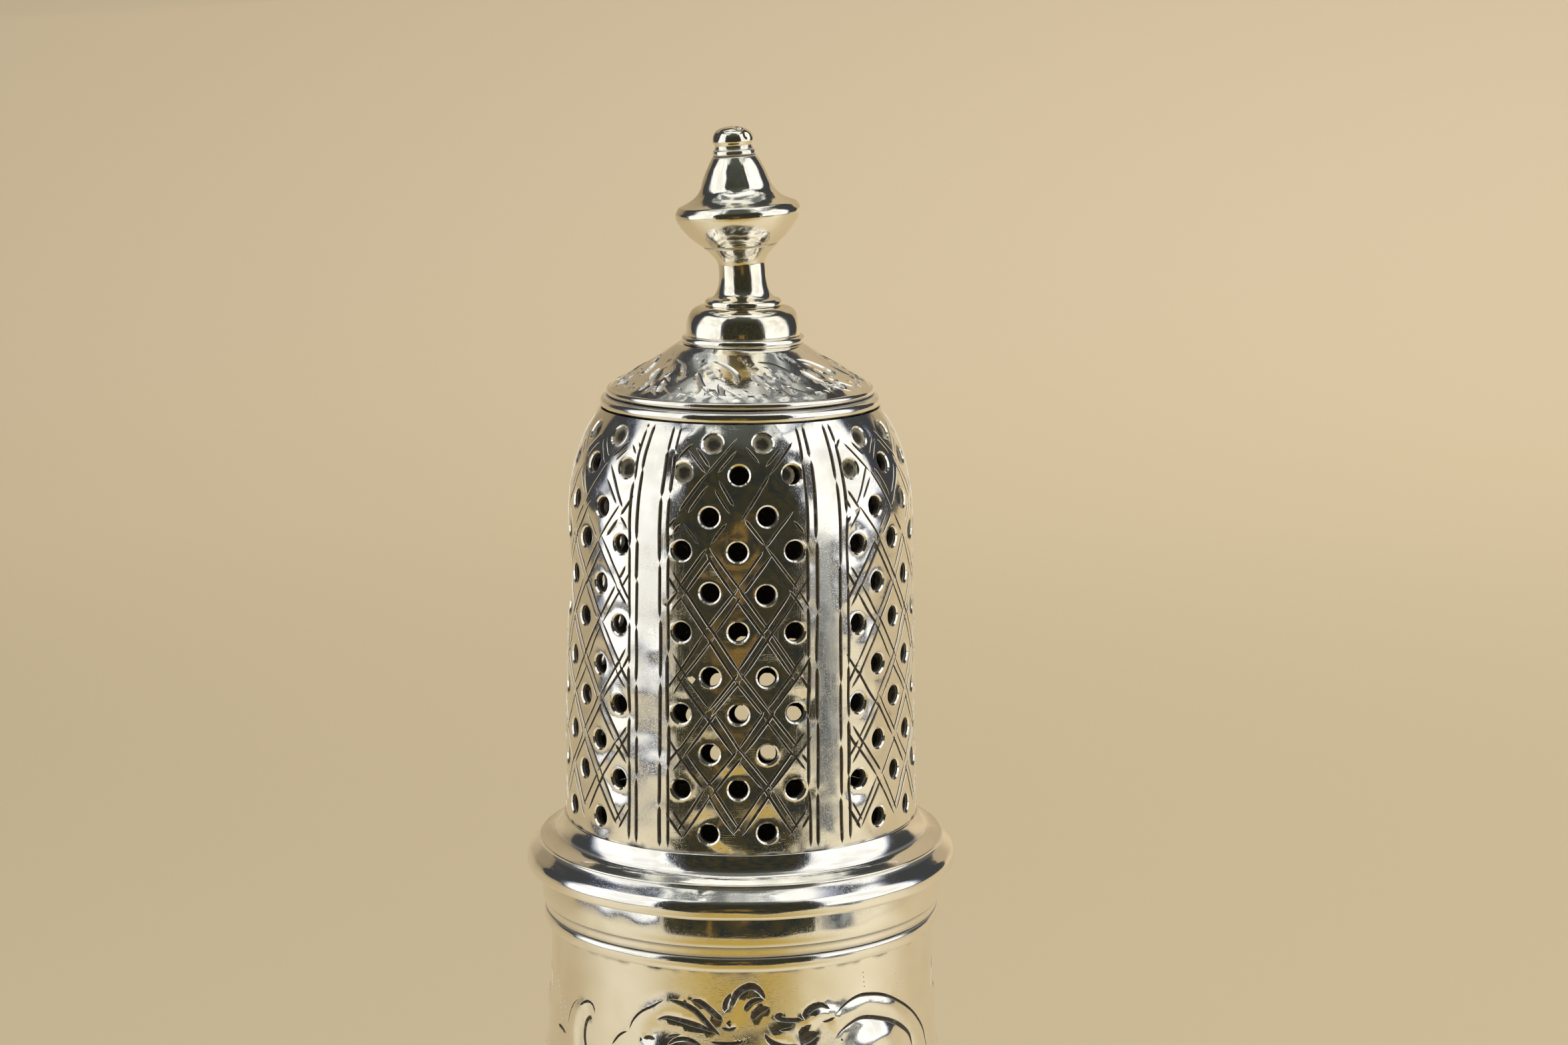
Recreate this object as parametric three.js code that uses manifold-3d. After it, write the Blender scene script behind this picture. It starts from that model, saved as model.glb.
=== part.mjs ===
// A silver sugar caster: a pull-off cover with a pierced dome and a turned finial,
// on a baluster body with a knop and a spreading foot.
// Millimetres, +Z up. The foot stands on z = 0 and the caster's axis is the z axis.
// One of the six pierced panels of the cover is centred on the -Y side.
import * as THREE from "three";
import Module from "manifold-3d";

const wasm = await Module();
wasm.setup();

// Facets round the axis. Each panel of the dome has seven, one for each column of holes
// and one for each half of the plain strip between two panels.
const panelCount = 6;
const facetsPerPanel = 7;
const domeFacets = panelCount * facetsPerPanel;
const ringFacets = 32;
const spindleFacets = 18;
const holeFacets = 8;

// Facets along one curve of a section.
const smallCurveFacets = 2;
const curveFacets = 3;
const longCurveFacets = 4;

// Corners closer than this count as one, and flats within it become one face.
const tolerance = 0.0001;

// Clearances between pieces that fit into each other.
const solderGap = 0.05;
const slideGap = 0.1;

// Foot rim: the wire that the caster stands on.
const rim = {
  radius: 25,
  width: 2.9,
  edgeHeight: 1.5,
  height: 2.6,
  setBack: 0.7,
};

// Foot: raised sheet, a domed step with a hollow sweep above it.
const foot = {
  wall: 1,
  edgeSetBack: 0.1,
  edgeHeight: 0.8,
  stepTread: 0.9,
  domeRadius: 17.6,
  domeHeight: 5.2,
  filletTread: 0.9,
  filletHeight: 0.7,
  topRadius: 7.6,
  height: 14.4,
};

// Knop: the turned ring between the foot and the body.
const knop = {
  seatRadius: 8.1,
  seatHeight: 0.6,
  waistRadius: 7.1,
  waistHeight: 0.9,
  beadRadius: 9.3,
  beadHeight: 2.3,
  capHeight: 1.7,
};

// Body: raised sheet, a baluster with a straight neck.
const body = {
  wall: 0.95,
  baseRadius: 8.6,
  floor: 1.2,
  bellyRadius: 28,
  bellyHeight: 17.5,
  bellySweep: 15,
  height: 73,
  neckRadius: 21.8,
  neckSweep: 28,
  boreMargin: 1.5,
};

// Mouth band: the moulded wire round the top of the body.
const band = {
  height: 5.5,
  beadThickness: 0.35,
  beadProjection: 0.4,
  beadHeight: 2,
  filletProjection: 0.6,
  filletHeight: 0.8,
  lipProjection: 1.1,
  lipHeight: 0.7,
};

// Sleeve: the bezel inside the cover that slides into the mouth.
const sleeve = {
  wall: 0.6,
  depth: 9.5,
  leadIn: 0.25,
  seatHeight: 5,
};

// Flange: the moulding round the base of the cover.
const flange = {
  height: 7,
  overhang: 1.6,
  edgeHeight: 0.8,
  edgeRound: 0.3,
  ovoloTread: 1.5,
  ovoloHeight: 2.9,
  filletTread: 0.4,
  filletHeight: 0.5,
  shoulder: 0.2,
};

// Dome: the pierced wall of the cover.
const dome = {
  wall: 1,
  setBack: 1.8,
  height: 46.4,
  taper: 0.6,
  shoulderHeight: 12.5,
  shoulderCornerDrop: 4.6,
  topSetBack: 4.3,
};

// Holes: staggered rows of two and three in each panel, drilled square to the dome.
const holes = {
  radius: 1,
  rowCount: 11,
  columnDegrees: 9.1,
  topInset: 2.1,
  baseInset: 2.3,
  overrun: 0.5,
};

// Cap ring: the double wire over the seam of dome and cap.
const capRing = {
  width: 1.8,
  beadHeight: 1.2,
  beadProjection: 0.6,
  upperBeadHeight: 0.8,
  upperBeadProjection: 0.4,
  upperSetBack: 0.5,
  landHeight: 0.2,
};

// Cap: the sheet cone that closes the cover.
const cap = {
  wall: 0.9,
  edgeThickness: 1.3,
  shoulderRadius: 7.7,
  coneHeight: 4.4,
  seatRadius: 7,
  height: 4.8,
};

// Boss ring and boss: the seat of the finial.
const bossRing = {
  radius: 6.9,
  innerRadius: 5.2,
  round: 0.4,
  height: 0.9,
};

const boss = {
  radius: 6.4,
  skirtHeight: 0.3,
  topRadius: 4.3,
  height: 3.3,
};

// Finial: one casting, a stem that carries a cup, a cone and a button.
const finial = {
  footRadius: 4.3,
  footHeight: 0.5,
  footRound: 0.3,
  stemRadius: 2.66,
  stemSweep: 3.2,
  stemHeight: 0.7,
  cupBaseRadius: 4.4,
  cupBaseSweep: 2.2,
  cupBaseHeight: 0.3,
  cupRadius: 7,
  cupRise: 2.9,
  cupTopHeight: 2.7,
  coneBaseRadius: 4.5,
  coneTopRadius: 2.6,
  coneHeight: 3.8,
  collarRadius: 2.3,
  collarHeight: 0.7,
  neckRadius: 2.05,
  neckHeight: 0.9,
  buttonRadius: 2.3,
  buttonHeight: 1.7,
};

// Heights of the seats, from the ground up.
const footBottom = rim.height;
const knopBottom = footBottom + foot.height;
const knopHeight = knop.seatHeight + knop.waistHeight + knop.beadHeight + knop.capHeight;
const bodyBottom = knopBottom + knopHeight;
const mouthZ = bodyBottom + body.height;
const bandBottom = mouthZ - band.height;
const sleeveTop = mouthZ + sleeve.seatHeight;
const domeBottom = mouthZ + flange.height;
const capRingBottom = domeBottom + dome.height;
const capRingHeight = capRing.beadHeight + capRing.landHeight + capRing.upperBeadHeight;
const capBottom = capRingBottom + capRingHeight;
const bossRingBottom = capBottom + cap.height;
const bossBottom = bossRingBottom + bossRing.height;
const finialBottom = bossBottom + boss.height;

// Radii that one piece takes from another.
const footEdgeRadius = rim.radius - rim.setBack - foot.edgeSetBack;
const mouthRadius = body.neckRadius - body.wall;
const bandInnerRadius = body.neckRadius + solderGap;
const sleeveRadius = mouthRadius - slideGap;
const sleeveInnerRadius = sleeveRadius - sleeve.wall;
const domeBaseRadius = body.neckRadius - dome.setBack;
const domeTopRadius = domeBaseRadius - dome.topSetBack;
const flangeBoreRadius = domeBaseRadius - dome.wall;
const flangeRadius = bandInnerRadius + band.lipProjection + flange.overhang;
const capRingRadius = domeTopRadius - capRing.beadProjection;
const capEdgeRadius = capRingRadius - capRing.upperSetBack;

// A section in radius and height that is turned about the axis.
// Its curves are the quarter rounds and hollows of a moulding.
class Section extends THREE.Path {
  flatThenSteep(radius, height) {
    return this.quadraticCurveTo(radius, this.currentPoint.y, radius, height);
  }

  steepThenFlat(radius, height) {
    return this.quadraticCurveTo(this.currentPoint.x, height, radius, height);
  }

  bead(swell, height) {
    const { x, y } = this.currentPoint;
    this.flatThenSteep(x + swell, y + height / 2);
    return this.steepThenFlat(x, y + height);
  }
}

const section = (radius, height) => new Section().moveTo(radius, height);

function manifoldOf(positions, triangles) {
  const whole = triangles.filter(([a, b, c]) => a !== b && b !== c && c !== a);
  return new wasm.Manifold(
    new wasm.Mesh({
      numProp: 3,
      vertProperties: new Float32Array(positions),
      triVerts: new Uint32Array(whole.flat()),
    }),
  );
}

function trianglesOf(index, vertexOf) {
  const corners = Array.from(index, vertexOf);
  return Array.from({ length: corners.length / 3 }, (_, i) => corners.slice(3 * i, 3 * i + 3));
}

// Turns a closed outline, or one with both ends on the axis, into a solid. The last column
// of the lathe is welded to its first, and each point on the axis becomes a single vertex.
function turned(outline, facets, placement = new THREE.Matrix4()) {
  const onAxis = outline[0].x === 0;
  const points = onAxis ? outline : [...outline, outline[0]];
  const lathe = new THREE.LatheGeometry(points, facets, -Math.PI / facets);
  lathe.rotateX(Math.PI / 2).applyMatrix4(placement);
  const rows = points.length;
  const weld = (vertex) => {
    const row = (vertex % rows) % (onAxis ? rows : rows - 1);
    const column = Math.floor(vertex / rows) % facets;
    return points[row].x === 0 ? row : column * rows + row;
  };
  return manifoldOf(lathe.attributes.position.array, trianglesOf(lathe.index.array, weld));
}

// The points of a section, without the repeated point where it closes.
function outlineOf(path, steps) {
  const points = path.getPoints(steps);
  const closes = points.at(0).distanceTo(points.at(-1)) < tolerance;
  return closes ? points.slice(0, -1) : points;
}

const turnedRing = (path, steps = smallCurveFacets) => turned(outlineOf(path, steps), ringFacets);

const turnedSpindle = (path, steps = smallCurveFacets) =>
  turned(outlineOf(path, steps), spindleFacets);

function makeRim() {
  const innerRadius = rim.radius - rim.width;
  return turnedRing(
    section(innerRadius, 0)
      .lineTo(rim.radius, 0)
      .lineTo(rim.radius, rim.edgeHeight)
      .steepThenFlat(rim.radius - rim.setBack, rim.height)
      .lineTo(innerRadius, rim.height)
      .lineTo(innerRadius, 0),
  );
}

function makeFoot() {
  const stepZ = footBottom + foot.edgeHeight;
  const domeTopZ = stepZ + foot.domeHeight;
  const sweepZ = domeTopZ + foot.filletHeight;
  const sweepRadius = foot.domeRadius - foot.filletTread;
  const domeEdgeRadius = footEdgeRadius - foot.stepTread;
  const outside = section(footEdgeRadius, footBottom)
    .lineTo(footEdgeRadius, stepZ)
    .lineTo(domeEdgeRadius, stepZ)
    .steepThenFlat(foot.domeRadius, domeTopZ)
    .lineTo(sweepRadius, domeTopZ)
    .lineTo(sweepRadius, sweepZ)
    .flatThenSteep(foot.topRadius, knopBottom);
  const inside = section(foot.topRadius - foot.wall, knopBottom)
    .steepThenFlat(sweepRadius - foot.wall, domeTopZ - foot.wall)
    .lineTo(foot.domeRadius - foot.wall, domeTopZ - foot.wall)
    .flatThenSteep(domeEdgeRadius - foot.wall, footBottom);
  return turned(
    [...outside.getPoints(curveFacets), ...inside.getPoints(curveFacets)],
    ringFacets,
  );
}

function makeKnop() {
  const waistZ = knopBottom + knop.seatHeight + knop.waistHeight;
  return turnedSpindle(
    section(0, knopBottom)
      .lineTo(knop.seatRadius, knopBottom)
      .lineTo(knop.seatRadius, knopBottom + knop.seatHeight)
      .flatThenSteep(knop.waistRadius, waistZ)
      .bead(knop.beadRadius - knop.waistRadius, knop.beadHeight)
      .steepThenFlat(body.baseRadius, bodyBottom)
      .lineTo(0, bodyBottom),
  );
}

// The bore of the neck is straight for as far as the cover's sleeve reaches into it.
function makeBody() {
  const bellyZ = bodyBottom + body.bellyHeight;
  const floorZ = bodyBottom + body.floor;
  const boreZ = mouthZ - sleeve.depth - body.boreMargin;
  const lowHandleZ = bellyZ + body.bellySweep;
  const highHandleZ = bandBottom - body.neckSweep;
  const { bellyRadius, neckRadius } = body;
  const innerBelly = bellyRadius - body.wall;
  const outside = section(0, bodyBottom)
    .lineTo(body.baseRadius, bodyBottom)
    .flatThenSteep(bellyRadius, bellyZ)
    .bezierCurveTo(bellyRadius, lowHandleZ, neckRadius, highHandleZ, neckRadius, bandBottom)
    .lineTo(neckRadius, mouthZ);
  const inside = section(mouthRadius, mouthZ)
    .lineTo(mouthRadius, boreZ)
    .bezierCurveTo(mouthRadius, highHandleZ, innerBelly, lowHandleZ, innerBelly, bellyZ)
    .steepThenFlat(body.baseRadius, floorZ)
    .lineTo(0, floorZ);
  return turned(
    [...outside.getPoints(longCurveFacets), ...inside.getPoints(longCurveFacets)],
    ringFacets,
  );
}

function makeBand() {
  const landRadius = bandInnerRadius + band.beadThickness;
  const filletZ = bandBottom + band.beadHeight;
  const hollowZ = filletZ + band.filletHeight;
  const lipRadius = bandInnerRadius + band.lipProjection;
  const filletRadius = bandInnerRadius + band.filletProjection;
  return turnedRing(
    section(bandInnerRadius, bandBottom)
      .lineTo(landRadius, bandBottom)
      .bead(band.beadProjection, band.beadHeight)
      .lineTo(filletRadius, filletZ)
      .lineTo(filletRadius, hollowZ)
      .steepThenFlat(lipRadius, mouthZ - band.lipHeight)
      .lineTo(lipRadius, mouthZ)
      .lineTo(bandInnerRadius, mouthZ)
      .lineTo(bandInnerRadius, bandBottom),
  );
}

function makeSleeve() {
  const bottom = mouthZ - sleeve.depth;
  return turnedRing(
    section(sleeveInnerRadius, bottom)
      .lineTo(sleeveRadius - sleeve.leadIn, bottom)
      .lineTo(sleeveRadius, bottom + sleeve.leadIn)
      .lineTo(sleeveRadius, sleeveTop)
      .lineTo(sleeveInnerRadius, sleeveTop)
      .lineTo(sleeveInnerRadius, bottom),
  );
}

function makeFlange() {
  const seatRadius = sleeveRadius + solderGap;
  const ovoloZ = mouthZ + flange.edgeHeight + flange.ovoloHeight;
  const ovoloRadius = flangeRadius - flange.ovoloTread;
  const filletRadius = ovoloRadius - flange.filletTread;
  return turnedRing(
    section(seatRadius, mouthZ)
      .lineTo(flangeRadius - flange.edgeRound, mouthZ)
      .lineTo(flangeRadius, mouthZ + flange.edgeRound)
      .lineTo(flangeRadius, mouthZ + flange.edgeHeight)
      .steepThenFlat(ovoloRadius, ovoloZ)
      .lineTo(ovoloRadius, ovoloZ + flange.filletHeight)
      .lineTo(filletRadius, ovoloZ + flange.filletHeight)
      .flatThenSteep(domeBaseRadius + flange.shoulder, domeBottom)
      .lineTo(flangeBoreRadius, domeBottom)
      .lineTo(flangeBoreRadius, sleeveTop)
      .lineTo(seatRadius, sleeveTop)
      .lineTo(seatRadius, mouthZ),
    curveFacets,
  );
}

// The dome's outer line from its base up: a slight taper, then the round shoulder
// that carries the taper on and turns in to the top.
function domeLine() {
  const shoulderZ = capRingBottom - dome.shoulderHeight;
  const shoulderRadius = domeBaseRadius - dome.taper;
  const cornerZ = capRingBottom - dome.shoulderCornerDrop;
  const taperRate = dome.taper / (shoulderZ - domeBottom);
  const cornerRadius = shoulderRadius - taperRate * (cornerZ - shoulderZ);
  return section(domeBaseRadius, domeBottom)
    .lineTo(shoulderRadius, shoulderZ)
    .quadraticCurveTo(cornerRadius, cornerZ, domeTopRadius, capRingBottom);
}

// The rows of holes are stepped evenly along the dome's line. The flat bands of the dome
// meet halfway between two rows, so that each hole lies in one facet.
function makeDome() {
  const line = domeLine();
  const length = line.getLength();
  const firstRow = holes.baseInset / length;
  const rowStep = (1 - firstRow - holes.topInset / length) / (holes.rowCount - 1);
  const rowShares = Array.from({ length: holes.rowCount }, (_, i) => firstRow + rowStep * i);
  const bandShares = [0, ...rowShares.slice(1).map((share) => share - rowStep / 2), 1];
  const outward = (share) => {
    const tangent = line.getTangent(share);
    return new THREE.Vector2(tangent.y, -tangent.x);
  };
  const outer = bandShares.map((share) => line.getPoint(share));
  const inner = bandShares.map((share, i) => outer[i].clone().addScaledVector(outward(share), -dome.wall));
  inner[0].set(flangeBoreRadius, domeBottom);
  inner.at(-1).y = capRingBottom;
  const shell = turned([...outer, ...inner.reverse()], domeFacets);
  const drills = rowShares.flatMap((share, row) =>
    rowOfDrills(line.getPoint(share), outward(share), row % 2 === 0),
  );
  return shell.subtract(wasm.Manifold.union(drills));
}

// The drills of one row, all round the dome. A short row has two holes in each panel and
// a long one three, so the rows are staggered.
function rowOfDrills(point, normal, short) {
  const columns = short ? [-1, 1] : [-2, 0, 2];
  const panels = Array.from({ length: panelCount }, (_, panel) => (360 / panelCount) * panel);
  return panels.flatMap((panelDegrees) =>
    columns.map((column) => drill(point, normal, panelDegrees + column * holes.columnDegrees)),
  );
}

function drill(point, normal, degrees) {
  const reach = dome.wall + holes.overrun;
  const rod = section(0, -reach).lineTo(holes.radius, -reach).lineTo(holes.radius, reach).lineTo(0, reach);
  const placement = new THREE.Matrix4()
    .makeRotationZ(THREE.MathUtils.degToRad(degrees))
    .multiply(new THREE.Matrix4().makeTranslation(0, -point.x, point.y))
    .multiply(new THREE.Matrix4().makeRotationX(Math.atan2(normal.x, normal.y)));
  return turned(rod.getPoints(), holeFacets, placement);
}

function makeCapRing() {
  const innerRadius = capRingRadius - capRing.width;
  const landZ = capRingBottom + capRing.beadHeight;
  return turnedRing(
    section(innerRadius, capRingBottom)
      .lineTo(capRingRadius, capRingBottom)
      .bead(capRing.beadProjection, capRing.beadHeight)
      .lineTo(capEdgeRadius, landZ + capRing.landHeight)
      .bead(capRing.upperBeadProjection, capRing.upperBeadHeight)
      .lineTo(innerRadius, capBottom)
      .lineTo(innerRadius, capRingBottom),
  );
}

function makeCap() {
  const shoulderZ = capBottom + cap.coneHeight;
  const roofZ = bossRingBottom - cap.wall;
  return turnedRing(
    section(0, roofZ)
      .lineTo(cap.seatRadius - cap.wall, roofZ)
      .lineTo(capEdgeRadius - cap.edgeThickness, capBottom)
      .lineTo(capEdgeRadius, capBottom)
      .lineTo(cap.shoulderRadius, shoulderZ)
      .lineTo(cap.seatRadius, bossRingBottom)
      .lineTo(0, bossRingBottom),
  );
}

function makeBossRing() {
  return turnedSpindle(
    section(bossRing.innerRadius, bossRingBottom)
      .lineTo(bossRing.radius - bossRing.round, bossRingBottom)
      .bead(bossRing.round, bossRing.height)
      .lineTo(bossRing.innerRadius, bossBottom)
      .lineTo(bossRing.innerRadius, bossRingBottom),
  );
}

function makeBoss() {
  const spigotRadius = bossRing.innerRadius - solderGap;
  return turnedSpindle(
    section(0, bossRingBottom)
      .lineTo(spigotRadius, bossRingBottom)
      .lineTo(spigotRadius, bossBottom)
      .lineTo(boss.radius, bossBottom)
      .lineTo(boss.radius, bossBottom + boss.skirtHeight)
      .steepThenFlat(boss.topRadius, finialBottom)
      .lineTo(0, finialBottom),
  );
}

function makeFinial() {
  const stemZ = finialBottom + finial.footHeight + finial.footRound + finial.stemSweep;
  const cupBaseZ = stemZ + finial.stemHeight + finial.cupBaseSweep;
  const cupZ = cupBaseZ + finial.cupBaseHeight + finial.cupRise;
  const coneZ = cupZ + finial.cupTopHeight;
  const collarZ = coneZ + finial.coneHeight;
  const neckZ = collarZ + finial.collarHeight;
  const buttonZ = neckZ + finial.neckHeight;
  return turnedSpindle(
    section(0, finialBottom)
      .lineTo(finial.footRadius, finialBottom)
      .lineTo(finial.footRadius, finialBottom + finial.footHeight)
      .lineTo(finial.footRadius - finial.footRound, finialBottom + finial.footHeight + finial.footRound)
      .flatThenSteep(finial.stemRadius, stemZ)
      .lineTo(finial.stemRadius, stemZ + finial.stemHeight)
      .steepThenFlat(finial.cupBaseRadius, cupBaseZ)
      .lineTo(finial.cupBaseRadius, cupBaseZ + finial.cupBaseHeight)
      .flatThenSteep(finial.cupRadius, cupZ)
      .steepThenFlat(finial.coneBaseRadius, coneZ)
      .lineTo(finial.coneTopRadius, collarZ)
      .bead(finial.collarRadius - finial.coneTopRadius, finial.collarHeight)
      .lineTo(finial.neckRadius, neckZ + finial.neckHeight / 2)
      .lineTo(finial.buttonRadius, buttonZ)
      .steepThenFlat(0, buttonZ + finial.buttonHeight),
  );
}

// Brings a solid back to a mesh of the scene.
function meshOf(name, solid, material) {
  const { vertProperties, triVerts } = solid.asOriginal().simplify(tolerance).getMesh();
  const geometry = new THREE.BufferGeometry();
  geometry.setAttribute("position", new THREE.BufferAttribute(vertProperties, 3));
  geometry.setIndex(new THREE.BufferAttribute(triVerts, 1));
  geometry.computeVertexNormals();
  const mesh = new THREE.Mesh(geometry, material);
  mesh.name = name;
  return mesh;
}

const silver = (color, roughness) =>
  new THREE.MeshStandardMaterial({ color, roughness, metalness: 1 });
const raisedSilver = silver(0xd8d2c2, 0.22);
const castSilver = silver(0xdcd6c8, 0.18);
const wireSilver = silver(0xe0dacc, 0.15);
const innerSilver = silver(0xb8b0a0, 0.35);

const bodyGroup = new THREE.Group();
bodyGroup.add(
  meshOf("foot_rim", makeRim(), wireSilver),
  meshOf("foot", makeFoot(), raisedSilver),
  meshOf("stem_knop", makeKnop(), castSilver),
  meshOf("body_shell", makeBody(), raisedSilver),
  meshOf("mouth_band", makeBand(), wireSilver),
);

const coverGroup = new THREE.Group();
coverGroup.add(
  meshOf("cover_sleeve", makeSleeve(), innerSilver),
  meshOf("cover_flange", makeFlange(), wireSilver),
  meshOf("cover_dome", makeDome(), raisedSilver),
  meshOf("cap_ring", makeCapRing(), wireSilver),
  meshOf("cap", makeCap(), raisedSilver),
  meshOf("boss_ring", makeBossRing(), wireSilver),
  meshOf("finial_boss", makeBoss(), castSilver),
  meshOf("finial", makeFinial(), castSilver),
);

const caster = new THREE.Group();
caster.add(bodyGroup, coverGroup);

export default caster;
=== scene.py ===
"""Looks of the silver sugar caster: finely turned, chased, pierced and engraved pieces
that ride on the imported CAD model. Lengths are in mm until a mesh is made."""

import copy
import math

import bpy
import numpy as np
from mathutils.geometry import delaunay_2d_cdt
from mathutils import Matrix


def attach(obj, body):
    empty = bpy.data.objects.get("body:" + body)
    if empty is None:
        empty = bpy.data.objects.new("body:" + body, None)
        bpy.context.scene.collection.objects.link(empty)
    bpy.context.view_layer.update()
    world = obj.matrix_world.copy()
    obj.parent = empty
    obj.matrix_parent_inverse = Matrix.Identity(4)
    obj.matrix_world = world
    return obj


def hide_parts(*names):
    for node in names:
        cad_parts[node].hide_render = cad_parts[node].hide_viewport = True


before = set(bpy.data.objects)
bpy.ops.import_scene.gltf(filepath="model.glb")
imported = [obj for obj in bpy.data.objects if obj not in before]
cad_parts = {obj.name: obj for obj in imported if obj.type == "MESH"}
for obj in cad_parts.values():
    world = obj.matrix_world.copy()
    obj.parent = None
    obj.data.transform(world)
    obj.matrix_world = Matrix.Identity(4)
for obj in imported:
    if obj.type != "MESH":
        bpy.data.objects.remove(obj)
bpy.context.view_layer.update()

MM = 0.001
BODY = "caster_body"
COVER = "cover"

# The camera's place in metres, its tilt below the level, and its focal length in pixels.
CAMERA_PLACE = (0.0049, -0.3474, 0.1974)
CAMERA_TILT = 10.1
FOCAL_PIXELS = 4700
PHOTO_WIDTH, PHOTO_HEIGHT = 2353, 1568

# The body that each node rides on, and its material slot.
NODES = {
    "foot_rim": (BODY, "wire_silver"),
    "foot": (BODY, "raised_silver"),
    "stem_knop": (BODY, "cast_silver"),
    "body_shell": (BODY, "raised_silver"),
    "mouth_band": (BODY, "wire_silver"),
    "cover_sleeve": (COVER, "inner_silver"),
    "cover_flange": (COVER, "wire_silver"),
    "cover_dome": (COVER, "raised_silver"),
    "cap_ring": (COVER, "wire_silver"),
    "cap": (COVER, "raised_silver"),
    "boss_ring": (COVER, "wire_silver"),
    "finial_boss": (COVER, "cast_silver"),
    "finial": (COVER, "cast_silver"),
}

# Heights of the seats between the pieces, as in the CAD model.
FOOT_Z = 2.6
KNOP_Z = 17.0
BODY_Z = 22.5
BAND_Z = 90.0
MOUTH_Z = 96.4
DOME_Z = 102.5
RING_Z = 148.9
CAP_Z = 151.1
BOSS_RING_Z = 155.9
BOSS_Z = 156.8
FINIAL_Z = 160.1
FINIAL_TOP = 180.0

# Points round the walls of sheet and round the finial.
BODY_SIDES = 200
CAP_SIDES = 180
FINIAL_SIDES = 160

# Radii that more than one piece shares.
BODY_BASE = 8.6
BELLY = 28
NECK = 21.8
BORE = 20.85
CAP_EDGE = 14.6
FINIAL_SEAT = 4.3

# How far to the right the boss and the finial were soldered.
OFF_AXIS = 0.35


# Outlines


def curve(*handles, steps=16):
    """The points of a Bezier curve over the handles."""
    start = np.array(handles, float)
    result = []
    for t in np.linspace(0, 1, steps):
        net = start
        while len(net) > 1:
            net = net[:-1] * (1 - t) + net[1:] * t
        result.append(net[0])
    return np.array(result)


class Outline:
    """Points (radius, height) of a turned surface. Its curves are those of a moulding."""

    def __init__(self, radius, height):
        self.points = [(radius, height)]

    def to(self, radius, height):
        self.points.append((radius, height))
        return self

    def bend(self, *handles, steps=14):
        """A Bezier curve over the handles, of which the last is its end."""
        self.points += [tuple(p) for p in curve(self.points[-1], *handles, steps=steps + 1)[1:]]
        return self

    def flat_then_steep(self, radius, height, steps=10):
        return self.bend((radius, self.points[-1][1]), (radius, height), steps=steps)

    def steep_then_flat(self, radius, height, steps=10):
        return self.bend((self.points[-1][0], height), (radius, height), steps=steps)

    def bead(self, swell, rise, steps=7):
        radius, height = self.points[-1]
        self.flat_then_steep(radius + swell, height + rise / 2, steps)
        return self.steep_then_flat(radius, height + rise, steps)


def turn_at(points, i):
    """The unit vectors into and out of a corner, their lengths, and the angle between them."""
    before = points[i] - points[i - 1]
    after = points[(i + 1) % len(points)] - points[i]
    a, b = np.linalg.norm(before), np.linalg.norm(after)
    if a < 1e-9 or b < 1e-9:
        return before, after, a, b, 0.0
    cosine = np.clip(before @ after / (a * b), -1, 1)
    return before / a, after / b, a, b, math.acos(cosine)


def softened(points, radius, closed=True):
    """Rounds the corners of an outline, as polishing and wear do."""
    points = np.array(points, float)
    result = []
    for i, corner in enumerate(points):
        inside, outside, a, b, angle = turn_at(points, i)
        if angle < math.radians(24) or (not closed and i in (0, len(points) - 1)):
            result.append(corner)
            continue
        first = corner - inside * min(radius, 0.45 * a)
        last = corner + outside * min(radius, 0.45 * b)
        for t in np.linspace(0, 1, 5):
            result.append(first * (1 - t) ** 2 + 2 * corner * t * (1 - t) + last * t**2)
    return np.array(result)


def spaced(points, step, closed=True):
    """Splits the long sides of an outline, so that relief has points to work on."""
    points = np.array(points, float)
    ends = np.roll(points, -1, axis=0) if closed else points[1:]
    result = []
    for start, end in zip(points, ends):
        count = max(1, round(np.linalg.norm(end - start) / step))
        result.extend(start + (end - start) * i / count for i in range(count))
    if not closed:
        result.append(points[-1])
    return np.array(result)


def waves(points, length, seed, count=16):
    """A smooth random field at the points, about that many mm from crest to crest."""
    rng = np.random.default_rng(seed)
    direction = rng.normal(size=(count, 3))
    direction /= np.linalg.norm(direction, axis=1)[:, None]
    direction *= (2 * math.pi / length * rng.uniform(0.75, 1.35, count))[:, None]
    phase = rng.uniform(0, 2 * math.pi, count)
    return np.cos(points @ direction.T + phase).sum(axis=1) / math.sqrt(count / 2)


def wavy(*parts):
    """A relief of hand work and use, the sum of waves of (height, length, seed)."""
    return lambda points: sum(height * waves(points, length, seed) for height, length, seed in parts)


def dents(points, places):
    """The depth of knocks: (place, radius, depth) each, a soft hollow in the metal."""
    depth = np.zeros(len(points))
    for place, radius, deepest in places:
        distance = np.linalg.norm(points - np.array(place), axis=1) / radius
        depth += deepest * np.exp(-(distance**2) * 1.6)
    return depth


# Meshes


def linked(name, data):
    """A new object in the scene."""
    obj = bpy.data.objects.new(name, data)
    bpy.context.scene.collection.objects.link(obj)
    return obj


def make_piece(name, node, points, faces, grime_and_shade, material=None, sharp=34):
    """A mesh object in metres that rides on a body and stands for a CAD node."""
    body, slot = NODES[node]
    mesh = bpy.data.meshes.new(name)
    mesh.from_pydata((np.asarray(points) * MM).tolist(), [], faces)
    mesh.polygons.foreach_set("use_smooth", [True] * len(mesh.polygons))
    mesh.set_sharp_from_angle(angle=math.radians(sharp))
    # This mark holds grime, and on the dome's inside painted shade.
    layer = mesh.attributes.new("grime_and_shade", "FLOAT", "POINT")
    layer.data.foreach_set("value", np.asarray(grime_and_shade, dtype=np.float32))
    mesh.materials.append(material or SILVERS[slot])
    obj = linked(name, mesh)
    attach(obj, body)
    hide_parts(node)


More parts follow.
